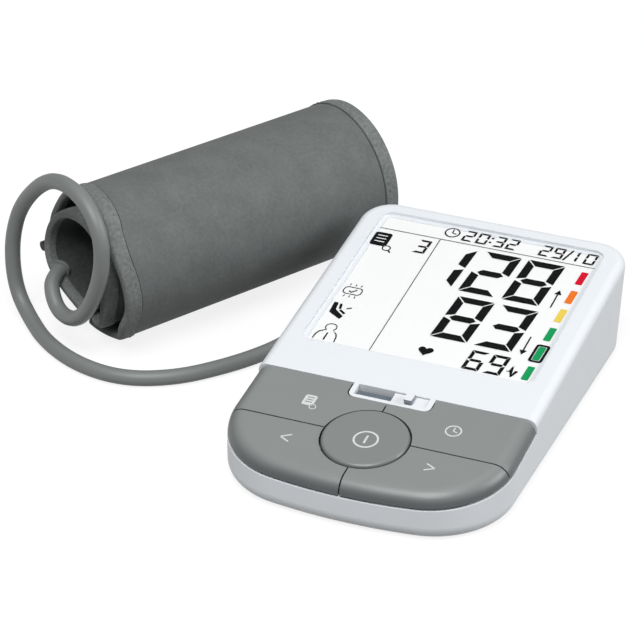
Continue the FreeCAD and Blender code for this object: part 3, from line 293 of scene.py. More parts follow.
# name, two tones, thread and depth in millimetres, sheen and speckle: the cover is a tight plain
# weave, the lining more mottled and darker, partly painted shade for the roll's dim inside, the tape
# finer and paler, the sewing thread dark, partly painted shade of the groove where the tape is sewn
finishes["cuff_nylon"] = wovenNylon("wovenCuffNylon", "#696d6c", "#575b5a", 0.9, 0.12, 0.06, 0.9)
# painted shade: the lining's tones are set darker in part so that the inside of the roll reads dim
finishes["lining_nylon"] = wovenNylon("wovenLiningNylon", "#4c504f", "#313534", 0.8, 0.15, 0.06, 1.3)
# painted shade: the sewing line's dark tones stand for the shade in the groove along the tape's hem
finishes["seam_thread"] = wovenNylon("seamThreadShade", "#3c403f", "#2e3231", 0.6, 0.1, 0.1, 1.0)
finishes["binding_tape"] = wovenNylon("bindingTape", "#7c807f", "#575b5a", 0.6, 0.15, 0.1, 1.5)


# hook tape: rows of tiny stiff hooks, so a dark ground with a dense rough nap
hookNap = {"spacing": mm(1.2), "depth": mm(0.3), "bumpStrength": 0.8}


def hookTape(name, colour, shade):
    finish, tree, shader = newFinish(name, Roughness=0.9, IOR=1.5)
    place = addNode(tree, "ShaderNodeTexCoord").outputs["Object"]
    nap = addNode(tree, "ShaderNodeTexVoronoi", {"Scale": 1 / hookNap["spacing"]}, {"Vector": place})
    tint = addNode(tree, "ShaderNodeMix", {
        "data_type": "RGBA", mixFirst: linearColour(colour), mixSecond: linearColour(shade)},
        {"Factor": nap.outputs["Distance"]})
    tree.links.new(tint.outputs[mixColour], shader.inputs["Base Color"])
    bump = addNode(tree, "ShaderNodeBump", {
        "Strength": hookNap["bumpStrength"], "Distance": hookNap["depth"]},
        {"Height": nap.outputs["Distance"]})
    tree.links.new(bump.outputs["Normal"], shader.inputs["Normal"])
    return finish


finishes["hook_tape"] = hookTape("hookTape", "#4c5050", "#2c2f2f")

# printed and liquid crystal marks: even ink, with the least tooth, and so little gloss that the
# lamp doesn't grey it
inkGloss = 0.02
inks = {
    "black": mouldedPlastic("lcdInk", "#020203", "#060607", 0.5, 0.4, 0.004),
    "line": mouldedPlastic("lcdLineInk", "#3f4244", "#45484a", 0.5, 0.4, 0.004),
    "red": mouldedPlastic("redInk", "#d2042b", "#c8062b", 0.5, 0.4, 0.004),
    "orange": mouldedPlastic("orangeInk", "#e87620", "#e06f1e", 0.5, 0.4, 0.004),
    "yellow": mouldedPlastic("yellowInk", "#e7cc57", "#e0c44f", 0.5, 0.4, 0.004),
    "green": mouldedPlastic("greenInk", "#0f9757", "#0e8f52", 0.5, 0.4, 0.004),
    "key": mouldedPlastic("keyInk", "#d0d3d3", "#c8cbcb", 0.5, 0.4, 0.004),
}
for ink in inks.values():
    ink.node_tree.nodes["Principled BSDF"].inputs["Specular IOR Level"].default_value = inkGloss


# keys and slider get painted shade on their sides: the colour darkens towards a shade colour as a
# face turns from the panel's own upward direction, between these cosines of the angle to it.
sideShadeBand = {"full": 0.35, "none": 0.97}


def paintSideShade(finish, colour, up):
    tree = finish.node_tree
    base = tree.nodes["Principled BSDF"].inputs["Base Color"]
    facing = addNode(tree, "ShaderNodeVectorMath", {"operation": "DOT_PRODUCT", 1: up},
                     {0: addNode(tree, "ShaderNodeTexCoord").outputs["Normal"]})
    share = addNode(tree, "ShaderNodeMapRange", {
        "From Min": sideShadeBand["full"], "From Max": sideShadeBand["none"], "To Min": 1.0, "To Max": 0.0},
        {"Value": facing.outputs["Value"]})
    # mix towards the painted shade colour, fully on the sides and not at all on top
    mix = addNode(tree, "ShaderNodeMix", {"data_type": "RGBA", mixSecond: linearColour(colour)},
                  {"Factor": share.outputs["Result"], mixFirst: base.links[0].from_socket})
    tree.links.new(mix.outputs[mixColour], base)


panelTilt = math.radians(7.37)  # the panel rises to the back
panelUp = (0.0, -math.sin(panelTilt), math.cos(panelTilt))
# painted shade colours for the sides of the keys, the round button and the slider
paintSideShade(finishes["grey_keycap"], "#54585a", panelUp)
paintSideShade(finishes["start_button_abs"], "#606463", panelUp)
paintSideShade(finishes["switch_slider_abs"], "#7f8592", panelUp)

slotOf = {part["node"]: part["material_slot"] for part in frame["record"]["subparts"]}
for nodeName, node in nodes.items():
    finish = finishes.get(slotOf[nodeName])
    if finish:
        node.data.materials.clear()
        node.data.materials.append(finish)
print("finishes on the CAD nodes")


# air hose

hose = {
    "diameter": mm(6.5),
    "length": 0.3744,
    # corner points of its route, in millimetres, from the cuff's mouth to the plug
    "route": [
        (-163.6, 14.1, 25.7), (-164.1, 7.2, 24.8), (-160.9, 1.5, 20.5), (-156.1, -2.1, 15.9),
        (-147.8, -6.7, 16.3), (-139.8, -10.8, 23.0), (-133.2, -14.4, 34.6), (-127.7, -17.4, 49.6),
        (-127.5, -17.6, 64.5), (-135.1, -12.7, 74.4), (-149.0, -4.1, 77.6), (-164.0, 5.5, 71.3),
        (-179.6, 13.4, 53.8), (-185.7, 15.7, 37.6), (-186.6, 15.4, 23.2), (-184.1, 14.0, 10.8),
        (-175.6, 7.6, 4.2), (-160.6, -6.9, 3.3), (-139.9, -18.4, 3.3), (-118.5, -21.2, 3.3),
        (-99.5, -12.5, 3.3), (-85.0, 3.0, 3.3), (-74.2, 19.0, 3.3), (-66.6, 29.8, 5.6),
        (-63.3, 39.5, 9.0), (-63.3, 47.0, 9.0),
    ],
}


def makeHose():
    curve = bpy.data.curves.new("airHose", "CURVE")
    curve.dimensions = "3D"
    spline = curve.splines.new("NURBS")
    spline.points.add(len(hose["route"]) - 1)
    for point, place in zip(spline.points, hose["route"]):
        point.co = [mm(c) for c in place] + [1.0]
    spline.order_u = 3
    spline.use_endpoint_u = True
    curve.resolution_u = 12
    curve.bevel_depth = hose["diameter"] / 2
    curve.bevel_resolution = 6
    curve.use_fill_caps = True
    piece = bpy.data.objects.new("airHose", curve)
    bpy.context.scene.collection.objects.link(piece)
    finishPiece(piece, "airHose", "cuff_set", finishes["grey_pvc"])
    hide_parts("air_hose")


makeHose()
print("hose laid")


# cuff. Its rolled band is drawn in the roll's own frame, where x runs along the roll from its mouth,
# y is left of it and z is up. Angles are counted from the left, over the top.

cuff = {
    "mouth": (-148.85, 7.97),   # under the roll's axis, on the table
    "heading": 61.07,           # degrees from across, towards the back
    "axisHeight": 32.9,
    "far": 140.0,               # from the mouth to the roll's far end
    # the band's middle line: angle from its outer end to its inner one, and distance from the axis
    "turns": [(-75, 31.2), (-120, 31.2), (-330, 31.2), (-360, 31.1), (-385, 30.3), (-410, 28.7), (-440, 26.4),
              (-490, 23.4), (-540, 21.5), (-585, 21.8), (-630, 22.9), (-675, 23.6), (-705, 23.3),
              (-720, 21.9), (-741, 18.6), (-765, 17.1), (-787, 17.6), (-812, 19.8)],
    # the mouth isn't cut square: angle, and how far the band's edge lies behind the mouth's plane
    "edge": [(-75, 5.5), (-105, 6.0), (-125, 3.0), (-148, -2.0), (-165, -1.2), (-188, -2.4), (-210, -3.8),
             (-226, -2.9), (-237, -0.9), (-253, 1.0), (-290, 4.0), (-325, 5.0), (-342, 4.2), (-360, 4.0),
             (-385, 4.2), (-430, 5.2), (-460, 1.0), (-504, -5.6), (-540, -6.2), (-557, -5.4), (-566, -4.0),
             (-576, -3.2), (-630, -2.6), (-700, -3.4), (-735, -5.4), (-765, -4.6), (-790, -3.4),
             (-812, -2.6)],
    "thick": 2.6,               # of the padded band
    "cloth": 0.5,               # of its cover and its lining
    "grid": 2.5,                # spacing of its mesh
    "tuck": 1.0,                # how far it stops short of the edges, inside the tape
    "binding": 7.0,             # width of the tape folded over each edge, on the outer side
    "foldBack": 0.62,           # share of it on the inner side
    "tape": 0.42,               # its thickness
    "sections": 1.6,            # spacing of its mesh, along the band
    "wave": (0.25, 17),         # height and length of the far edge's waves
    "ripple": (0.03, 3.1),      # the tape's unevenness: share of its height, and length
    "slowRipple": (0.02, 7.3),
    "swell": 0.75,              # furthest that the padding may rise
    "flat": 8.6,                # width of the sewn margin, which doesn't swell
    "endFlat": 4,               # the same at the band's two ends
    "frames": 20,               # of the simulation
    "lift": 0.1,                # least height over the table
}
cuffPlace = (Matrix.Translation((mm(cuff["mouth"][0]), mm(cuff["mouth"][1]), mm(cuff["axisHeight"])))
             @ Matrix.Rotation(math.radians(cuff["heading"]), 4, "Z"))
bandFloor = cuff["lift"] - cuff["axisHeight"]


# the value of a table at an angle, on a smooth curve through its rows
def smoothValue(table, angle):
    angle = max(min(angle, table[0][0]), table[-1][0])
    row = next(i for i in range(len(table) - 1) if angle >= table[i + 1][0])
    slopes = []
    for i in (row, row + 1):
        before, after = table[max(i - 1, 0)], table[min(i + 1, len(table) - 1)]
        slopes.append((after[1] - before[1]) / (after[0] - before[0]))
    (start, value), (end, nextValue) = table[row], table[row + 1]
    run, t = end - start, (angle - start) / (end - start)
    return ((2 * t ** 3 - 3 * t ** 2 + 1) * value + (t ** 3 - 2 * t ** 2 + t) * run * slopes[0]
            + (3 * t ** 2 - 2 * t ** 3) * nextValue + (t ** 3 - t ** 2) * run * slopes[1])


# the middle line at each degree: length so far, angle, place and outward direction
def traceBand():
    angles = range(cuff["turns"][0][0], cuff["turns"][-1][0] - 1, -1)
    places = []
    for angle in angles:
        radius = smoothValue(cuff["turns"], angle)
        turn = math.radians(angle)
        places.append(Vector((radius * math.cos(turn), radius * math.sin(turn))))
    line, along = [], 0.0
    for i, place in enumerate(places):
        before, after = places[max(i - 1, 0)], places[min(i + 1, len(places) - 1)]
        if i:
            along += (place - places[i - 1]).length
        run = (after - before).normalized()
        line.append((along, angles[i], place, Vector((-run.y, run.x))))
    return line


bandLine = traceBand()
bandLength = bandLine[-1][0]


# angle, place and outward direction at a length along the band
def bandSpot(along):
    along = min(max(along, 0.0), bandLength)
    after = next(i for i in range(1, len(bandLine)) if along <= bandLine[i][0])
    (start, angle, place, out), (end, nextAngle, nextPlace, nextOut) = bandLine[after - 1], bandLine[after]
    share = (along - start) / (end - start)
    return (angle + (nextAngle - angle) * share, place.lerp(nextPlace, share),
            out.lerp(nextOut, share).normalized())


# a point over or under the band's middle line, kept off the table
def bandPoint(along, x, rise):
    _, place, out = bandSpot(along)
    spot = place + out * rise
    return mm(x), mm(spot.x), mm(max(spot.y, bandFloor))


def mouthEdge(along):
    return smoothValue(cuff["edge"], bandSpot(along)[0])


# the band's outer and inner points, one grid after the other, and their places on the flat cloth
def bandGrid():
    steps = round(bandLength / cuff["grid"])
    rows = round(cuff["far"] / cuff["grid"])
    points, cloth = [], []
    for side in (1, -1):
        for i in range(steps + 1):
            along = bandLength * i / steps
            front = mouthEdge(along) + cuff["tuck"]
            for j in range(rows + 1):
                x = front + (cuff["far"] - cuff["tuck"] - front) * j / rows
                points.append(bandPoint(along, x, side * cuff["thick"] / 2))
                cloth.append((mm(along), mm(x)))
    return steps, rows, points, cloth


# the faces over both grids, then those that join their edges, so that the band is closed
def closedFaces(steps, rows):
    wide, half = rows + 1, (steps + 1) * (rows + 1)
    faces = []
    for i in range(steps):
        for j in range(rows):
            a = i * wide + j
            faces.append((a, a + 1, a + wide + 1, a + wide))
            faces.append((half + a, half + a + wide, half + a + wide + 1, half + a + 1))
    for i in range(steps):
        a, b = i * wide, i * wide + rows
        faces.append((a, a + wide, half + a + wide, half + a))
        faces.append((b, half + b, half + b + wide, b + wide))
    for j in range(rows):
        a, b = j, steps * wide + j
        faces.append((a, half + a, half + a + 1, a + 1))
        faces.append((b, b + 1, half + b + 1, half + b))
    return faces


# cloth settings under which the padding swells
swelling = {
    "quality": 5,
    "mass": 0.25,
    "tension_stiffness": 25,
    "compression_stiffness": 25,
    "shear_stiffness": 8,
    "bending_stiffness": 0.4,
    "use_pressure": True,
    "uniform_pressure_force": 5.0,
    "vertex_group_mass": "held",
}


def swellBand(points, faces, held):
    band = meshPiece("swollenBand", points, faces, Matrix())
    group = band.vertex_groups.new(name=swelling["vertex_group_mass"])
    for index, grip in enumerate(held):
        group.add([index], grip, "REPLACE")
    cloth = band.modifiers.new("swell", "CLOTH")
    for key, value in swelling.items():
        setattr(cloth.settings, key, value)
    cloth.settings.effector_weights.gravity = 0
    cloth.collision_settings.use_collision = False
    cloth.point_cache.frame_start = 1
    cloth.point_cache.frame_end = cuff["frames"]
    scene = bpy.context.scene
    for step in range(1, cuff["frames"] + 1):
        scene.frame_set(step)
    swollen = band.evaluated_get(bpy.context.evaluated_depsgraph_get()).to_mesh()
    moved = []
    for vertex, start in zip(swollen.vertices, points):
        shift = vertex.co - Vector(start)
        if shift.length > mm(cuff["swell"]):
            shift *= mm(cuff["swell"]) / shift.length
        spot = Vector(start) + shift
        spot.z = max(spot.z, mm(bandFloor))
        moved.append(tuple(spot))
    scene.frame_set(1)
    bpy.data.objects.remove(band)
    return moved


def makeBand():
    steps, rows, points, cloth = bandGrid()
    faces = closedFaces(steps, rows)
    wide, half = rows + 1, (steps + 1) * (rows + 1)
    held = []
    for index in range(len(points)):
        i, j = divmod(index % half, wide)
        near = min(j, rows - j) * cuff["grid"]
        end = min(i, steps - i) * cuff["grid"]
        held.append(1.0 if near < cuff["flat"] or end < cuff["endFlat"] else 0.0)
    points = swellBand(points, faces, held)
    for name, slotName, first in (("cuffCover", "cuff_nylon", 0), ("cuffLining", "lining_nylon", half)):
        own = [tuple(k - first for k in face) for face in faces
               if all(first <= k < first + half for k in face)]
        piece = meshPiece(name, points[first:first + half], own, cuffPlace, cloth[first:first + half])
        wall = piece.modifiers.new("cloth", "SOLIDIFY")
        wall.thickness = mm(cuff["cloth"])
        wall.offset = -1
        smoothAndApply(piece)
        finishPiece(piece, name, "cuff_set", finishes[slotName])
    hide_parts("cuff_cover", "cuff_lining", "air_bladder")


# a long piece that follows the band: outline gives its section at each length, as pairs of the place
# along the roll and the height over the band's middle line
def makeStrip(name, lengths, outline, finish):
    points, cloth, faces = [], [], []
    for along in lengths:
        section = outline(along)
        points += [bandPoint(along, x, rise) for x, rise in section]
        cloth += [(mm(along), mm(2 * k)) for k in range(len(section))]     # some 2 mm apart
    count = len(section)
    for i in range(len(lengths) - 1):
        for k in range(count):
            a, b = i * count + k, i * count + (k + 1) % count
            faces.append((a, a + count, b + count, b))
    faces.append(tuple(range(count)))
    faces.append(tuple((len(lengths) - 1) * count + k for k in reversed(range(count))))
    piece = meshPiece(name, points, faces, cuffPlace, cloth)
    faceOutwards(piece)
    smoothAndApply(piece)
    return finishPiece(piece, name, "cuff_set", finish)


def bandLengths():
    steps = round(bandLength / cuff["sections"])
    return [bandLength * i / steps for i in range(steps + 1)]


# where the band ends at a length along it, and which way is inwards
def bandEdge(along, far):
    height, length = cuff["wave"]
    return (cuff["far"] + height * math.sin(along / length), -1) if far else (mouthEdge(along), 1)


# tape folded over the band's edge: over it, round it and back under it
def makeBinding(name, node, far):
    half, wide = cuff["thick"] / 2 + cuff["tape"], cuff["binding"]
    # from the hem to the edge: distance in from the edge, and height
    over = [(wide, half - 0.3), (wide, half), (wide - 0.5, half + 0.05), (wide * 0.5, half + 0.05),
            (1.0, half - 0.05), (0.2, half * 0.7)]
    outline = over + [(-0.1, 0.0)] + [(e * cuff["foldBack"], -h) for e, h in reversed(over)]
    (rise, length), (slowRise, slowLength) = cuff["ripple"], cuff["slowRipple"]

    def section(along):
        edge, inwards = bandEdge(along, far)
        return [(edge + inwards * e, h * (1 + rise * math.sin(along / length + k)
                                          + slowRise * math.sin(along / slowLength + 2 * k)))
                for k, (e, h) in enumerate(outline)]

    piece = makeStrip(name, bandLengths(), section, finishes["binding_tape"])
    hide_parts(node)


# the dark line where the tape is sewn down: a dark strip just past the tape's hem, painted shade of the
# groove there
seam = {
    "near": 0.05,               # from the tape's hem to the line's two sides
    "far": 0.55,
    "rise": 0.1,                # over the band's own cloth
    "depth": 0.4,
}


# a dark strip of painted shade along the tape's hem, where its groove would lie
def makeSeamShade(name, far):
    top = cuff["thick"] / 2 + seam["rise"]
    low, near, end = top - seam["depth"], cuff["binding"] + seam["near"], cuff["binding"] + seam["far"]

    def section(along):
        edge, inwards = bandEdge(along, far)
        return [(edge + inwards * e, h) for e, h in ((near, low), (near, top), (end, top), (end, low))]

    makeStrip(name, bandLengths(), section, finishes["seam_thread"])


# hook tape on the inner side of the outer turn, which holds the roll closed
fastener = {
    "angles": (-190, -140),
    "step": 2,                  # degrees between its sections
    "ends": (15.1, 124.9),      # along the roll
    "between": range(20, 125, 5),
    "thick": 0.8,
    "gap": 0.05,                # under the most that the band swells
}


def makeHookTape():
    (first, last), (near, far) = fastener["angles"], fastener["ends"]
    lengths = [along for along, angle, _, _ in bandLine
               if first <= angle <= last and angle % fastener["step"] == 0]
    top = -cuff["thick"] / 2 - cuff["swell"] - fastener["gap"]
    low = top - fastener["thick"]
    outline = ([(near, top), (near, low)] + [(x, low) for x in fastener["between"]]
               + [(far, low), (far, top)] + [(x, top) for x in reversed(fastener["between"])])
    piece = makeStrip("hookTape", lengths, lambda along: outline, finishes["hook_tape"])
    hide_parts("fastener_patch")


# one stitch after another, on the outer and on the inner side of the tape
stitch = {
    "long": 2.1,
    "wide": 0.42,
    "pitch": 3.2,
    "insets": (1.8, 1.4),       # from the tape's hem, outside and inside
    "lift": 0.06,               # of its middle over the tape
    "dip": 0.25,                # of its two ends, into the tape
    "crowns": (0.3, 0.7),       # where its sections lie, as shares of its length
    "section": ((-1, -0.6), (-1, 0.3), (0, 0.8), (1, 0.3), (1, -0.6)),      # in half widths
}


def makeStitches(name, far):
    long, half, sides = stitch["long"], stitch["wide"] / 2, len(stitch["section"])
    top = cuff["thick"] / 2 + cuff["tape"] + stitch["lift"]
    hems = (cuff["binding"], cuff["binding"] * cuff["foldBack"])
    points, faces, cloth = [], [], []
    for i in range(int(bandLength / stitch["pitch"])):
        along = stitch["pitch"] * (i + 0.5)
        edge = cuff["far"] if far else mouthEdge(along)
        for side, hem, inset in zip((1, -1), hems, stitch["insets"]):
            x = edge - (hem - inset) if far else edge + (hem - inset)
            first = len(points)
            points += [bandPoint(along + end * long / 2, x, side * (top - stitch["dip"])) for end in (-1, 1)]
            for share in stitch["crowns"]:
                spot = along - long / 2 + long * share
                points += [bandPoint(spot, x + across * half, side * (top + rise * half))
                           for across, rise in stitch["section"]]
            cloth += [(mm(along), mm(x))] * (len(points) - first)
            a, b = first + 2, first + 2 + sides
            for k in range(sides):
                n = (k + 1) % sides
                faces += [(first, a + k, a + n), (a + k, b + k, b + n, a + n), (first + 1, b + n, b + k)]
    piece = meshPiece(name, points, faces, cuffPlace, cloth)
    faceOutwards(piece)
    finishPiece(piece, name, "cuff_set", finishes["binding_tape"])


# sewn sleeve round the bar that the cuff's free end passes
sleeve = {
    "centre": 26.4,             # of the bar, left of the roll's axis
    "radius": 2.05,
    "wall": 0.55,
    "ends": (1.5, 138.5),       # along the roll
    "sides": 20,
    "rows": 46,
    "crease": 0.05,             # share of the radius, three round the sleeve
    "creaseTurn": 6,            # along the roll, how fast they wind round it
    "creaseLength": 4.3,        # and how fast they come and go
}


def makeSleeve():
    (near, far), count, rows = sleeve["ends"], sleeve["sides"], sleeve["rows"]
    points, cloth, faces = [], [], []
    for j in range(rows + 1):
        x = near + (far - near) * j / rows
        for crease, radius in ((sleeve["crease"], sleeve["radius"] + sleeve["wall"]), (0, sleeve["radius"])):
            for k in range(count):
                a = 2 * math.pi * k / count
                r = radius * (1 + crease * math.sin(3 * a + x / sleeve["creaseTurn"])
                              * math.sin(x / sleeve["creaseLength"]))
                points.append((mm(x), mm(sleeve["centre"] + r * math.cos(a)), mm(r * math.sin(a))))
                cloth.append((mm(x), mm(radius * a)))
    for j in range(rows + 1):
        a, b = j * 2 * count, (j + 1) * 2 * count
        for k in range(count):
            n = (k + 1) % count
            if j < rows:
                faces += [(a + k, a + n, b + n, b + k),
                          (a + count + k, b + count + k, b + count + n, a + count + n)]
            if j in (0, rows):
                faces.append((a + k, a + count + k, a + count + n, a + n))
    piece = meshPiece("barSleeve", points, faces, cuffPlace, cloth)
    faceOutwards(piece)
    finishPiece(piece, "barSleeve", "cuff_set", finishes["lining_nylon"])
    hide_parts("bar_loop")


makeSleeve()
makeBinding("frontBinding", "front_binding", False)
makeBinding("rearBinding", "rear_binding", True)
makeStitches("frontStitches", False)
makeStitches("rearStitches", True)
makeSeamShade("frontSeamShade", False)
makeSeamShade("rearSeamShade", True)
makeHookTape()
makeBand()
print("cuff rolled")


# marks on the display and the keys. Each is a set of flat outlines, in millimetres across and up the
# sloping panel, where an outline inside another is a hole.

panel = {
    "height": 30.3,
    "filmLevel": -1.45,         # the display's white film, on its glass cell
    "markLevel": -1.29,         # printed on the underside of the clear plate
    "markThick": 0.02,
    "keyLevel": 0.0,
    "startLevel": 1.0,          # the round button's top
    # where the marks' measures start, across and up the slope
    "displayZero": (-0.72, -23.63),
    "keyZero": (0.0, -25.2),
}
panelPlace = Matrix.Translation((0, 0, mm(panel["height"]))) @ Matrix.Rotation(panelTilt, 4, "X")


# filled outlines, a hair thick, laid at a level over the sloping panel
def flatMark(name, outlines, zero, level, finish, body):
    curve = bpy.data.curves.new(name, "CURVE")
    curve.dimensions = "2D"
    curve.fill_mode = "BOTH"
    curve.extrude = mm(panel["markThick"]) / 2
    for outline in outlines:
        spline = curve.splines.new("POLY")
        spline.points.add(len(outline) - 1)
        for point, (x, y) in zip(spline.points, outline):
            point.co = (mm(x + zero[0]), mm(y + zero[1]), 0, 1)
        spline.use_cyclic_u = True
    piece = bpy.data.objects.new(name, curve)
    bpy.context.scene.collection.objects.link(piece)
    makeActive(piece)
    bpy.ops.object.convert(target="MESH")
    piece = bpy.context.object
    piece.data.transform(panelPlace @ Matrix.Translation((0, 0, mm(level + panel["markThick"] / 2))))
    finishPiece(piece, name, body, finish)


# outlines, as lists of points: a circle or its arc, a ring, a straight stroke, and a box that may lean
def circle(x, y, radius, count=40, start=0.0, end=360.0):
    steps = count if end - start >= 360 else count + 1
    turns = [math.radians(start + (end - start) * i / count) for i in range(steps)]
    return [(x + radius * math.cos(a), y + radius * math.sin(a)) for a in turns]


def ring(x, y, outer, inner):
    return [circle(x, y, outer), circle(x, y, inner)]


def stroke(x0, y0, x1, y1, width):
    long = math.hypot(x1 - x0, y1 - y0)
    a, b = (y0 - y1) / long * width / 2, (x1 - x0) / long * width / 2
    return [(x0 + a, y0 + b), (x0 - a, y0 - b), (x1 - a, y1 - b), (x1 + a, y1 + b)]


def roundedBox(x0, y0, x1, y1, radius, lean=0.0):
    corners = []
    for x, y, start in ((x1 - radius, y1 - radius, 0), (x0 + radius, y1 - radius, 90),
                        (x0 + radius, y0 + radius, 180), (x1 - radius, y0 + radius, 270)):
        corners += circle(x, y, radius, 5, start, start + 90)
    return [(x + lean * (y - y0), y) for x, y in corners]


digits = {
    "lean": 0.065,
    "gap": 0.11,                # of a bar's thickness, between neighbouring bars
    # which of a digit's seven bars are dark, clockwise from the top, then the middle one
    "bars": {"0": "abcdef", "1": "bc", "2": "abdeg", "3": "abcdg", "6": "acdefg", "8": "abcdefg",
             "9": "abcdfg"},
}


def digitBars(digit, left, foot, wide, high, thick):
    gap, middle, half = digits["gap"] * thick, high / 2, thick / 2
    inner, right, top = thick + gap, wide - thick - gap, high - thick
    shapes = {
        "a": [(gap, high), (wide - gap, high), (right, top), (inner, top)],
        "d": [(inner, thick), (right, thick), (wide - gap, 0), (gap, 0)],
        "f": [(0, high - gap), (thick, top - gap), (thick, middle + half + gap), (0, middle + 1.5 * gap)],
        "e": [(0, gap), (0, middle - 1.5 * gap), (thick, middle - half - gap), (thick, inner)],
        "g": [(half + gap, middle), (inner, middle + half), (right, middle + half),
              (wide - half - gap, middle), (right, middle - half), (inner, middle - half)],
    }
    shapes["b"] = [(wide - x, y) for x, y in shapes["f"]]
    shapes["c"] = [(wide - x, y) for x, y in shapes["e"]]
    return [[(left + x + digits["lean"] * y, foot + y) for x, y in shapes[bar]]
            for bar in digits["bars"][digit]]


display = {
    # digit, left side, foot, width, height, thickness of the bars
    "numbers": [
        ("1", -18.6, 70.4, 15.2, 27.4, 3.6), ("2", 0.0, 69.4, 15.4, 28.9, 3.6),
        ("8", 18.4, 69.4, 15.6, 28.9, 3.6),
        ("8", 0.0, 37.4, 15.4, 28.4, 3.6), ("3", 18.2, 37.4, 15.6, 28.4, 3.6),
        ("6", 18.7, 21.7, 7.0, 12.4, 1.5), ("9", 27.5, 21.7, 7.0, 12.4, 1.5),
        ("2", -11.0, 102.5, 4.6, 7.4, 0.95), ("0", -5.0, 102.5, 4.6, 7.4, 0.95),
        ("3", 2.4, 102.5, 4.4, 7.4, 0.95), ("2", 8.0, 102.5, 4.4, 7.4, 0.95),
        ("2", 22.2, 102.5, 4.4, 7.4, 0.95), ("9", 27.8, 102.5, 4.4, 7.4, 0.95),
        ("1", 33.6, 102.5, 4.8, 7.4, 0.95), ("0", 41.3, 102.5, 4.6, 7.4, 0.95),
        ("3", -27.2, 88.6, 5.2, 9.2, 1.1),
    ],
    # finish, middle up the slope
    "scale": [("red", 92.5), ("orange", 79.1), ("yellow", 66.1),
              ("green", 53.1), ("green", 40.0), ("green", 26.8)],
    "scaleX": 44.6,
    "scaleLean": 0.03,
    "barShift": 0.2,            # of the bars, left of the scale's middle
    "barHalf": (1.45, 4.4),     # half their width and height
    "barRadius": 0.35,
    "framed": 4,                # the bar in the frame
    # the frame's outer and inner outline: left, foot, right and top from the bar, and its corners
    "frame": [(1.6, 1.4, 1.2, 1.4, 1.3), (0.5, 0.3, 0.1, 0.3, 0.6)],
    "film": (-45.95, -2.65, 45.95, 85.25, 0.9),
    "lines": [(-45.6, 100.7, 47.4, 100.7, 0.36), (-19.0, 20.9, -19.0, 100.5, 0.36)],
}


def heart(x, y, size, count=48):
    points = []
    for i in range(count):
        a = 2 * math.pi * i / count
        points.append((x + size * math.sin(a) ** 3, y + size * (
            13 * math.cos(a) - 5 * math.cos(2 * a) - 2 * math.cos(3 * a) - math.cos(4 * a)) / 16))
    return points


def displayShapes():
    shapes = []
    for number in display["numbers"]:
        shapes += digitBars(*number)
    # colon of the time and stroke of the date
    shapes += [stroke(1.0, 104.3, 1.1, 105.3, 1.0), stroke(1.3, 107.3, 1.4, 108.3, 1.0)]
    shapes.append(stroke(33.1, 102.3, 35.5, 109.9, 0.8))
    # clock
    shapes += ring(-15.9, 106.5, 3.3, 2.7)
    shapes += [stroke(-15.9, 106.2, -15.9, 108.7, 0.5), stroke(-15.7, 106.3, -14.0, 105.8, 0.5)]
    shapes.append(heart(2.0, 27.6, 3.1))
    # stored readings: a dark card with three lines and a round lens at its corner
    shapes.append(roundedBox(-46.0, 88.4, -38.6, 97.7, 1.2))
    shapes += [stroke(-44.6, y, -40.2, y, 0.7) for y in (95.6, 93.5, 91.4)]
    shapes += ring(-37.9, 87.6, 1.9, 1.4) + [stroke(-36.5, 86.2, -35.4, 85.0, 0.7)]
    # cuff that fits: an oblong with short rays
    shapes += [roundedBox(-43.8, 53.0, -35.8, 58.0, 1.8), roundedBox(-43.4, 53.4, -36.2, 57.6, 1.5)]
    shapes += [stroke(x, 55.5 + side * 3.3, x + 0.3 * i, 55.5 + side * 4.6, 0.35)
               for side in (-1, 1) for i, x in ((-1, -42.0), (0, -39.8), (1, -37.6))]
    shapes.append(stroke(-41.2, 55.3, -40.0, 54.3, 0.6))
    shapes.append(stroke(-40.2, 54.3, -38.2, 56.6, 0.6))
    # arm at rest
    shapes += [[(-44.0, 46.4), (-42.2, 46.4), (-41.6, 41.8), (-37.2, 38.4), (-38.0, 36.2), (-43.6, 39.6)],
               stroke(-40.8, 46.0, -40.2, 42.6, 1.0), stroke(-39.8, 42.0, -37.2, 40.0, 1.0),
               stroke(-37.6, 43.4, -35.8, 44.6, 0.6)]
    # user
    user = (circle(-38.8, 30.2, 2.5, 16, -50, 230)
            + [(-42.6, 26.6), (-43.4, 24.4), (-43.6, 21.4), (-43.1, 21.4), (-42.9, 24.2), (-42.2, 26.2),
               (-39.9, 28.0)]
            + circle(-38.8, 30.2, 2.05, 16, 225, -45)
            + [(-35.4, 26.2), (-34.7, 24.2), (-34.5, 21.4), (-34.0, 21.4), (-34.2, 24.4), (-35.0, 26.6)])
    shapes.append(user)
    shapes.append(stroke(-38.8, 21.6, -38.8, 26.4, 0.6))
    # rising, falling and beating, beside the three values
    shapes += [stroke(38.9, 70.0, 38.9, 79.1, 0.6), [(37.4, 79.2), (40.4, 79.2), (38.9, 82.2)]]
    shapes += [stroke(38.0, 40.3, 38.0, 49.4, 0.6), [(36.5, 40.2), (39.5, 40.2), (38.0, 37.2)]]
    pulse = [(36.2, 25.6), (37.2, 25.6), (37.9, 29.4), (38.8, 22.4), (39.5, 26.4), (40.6, 26.4)]
    shapes += [stroke(*a, *b, 0.45) for a, b in zip(pulse, pulse[1:])]
    return shapes


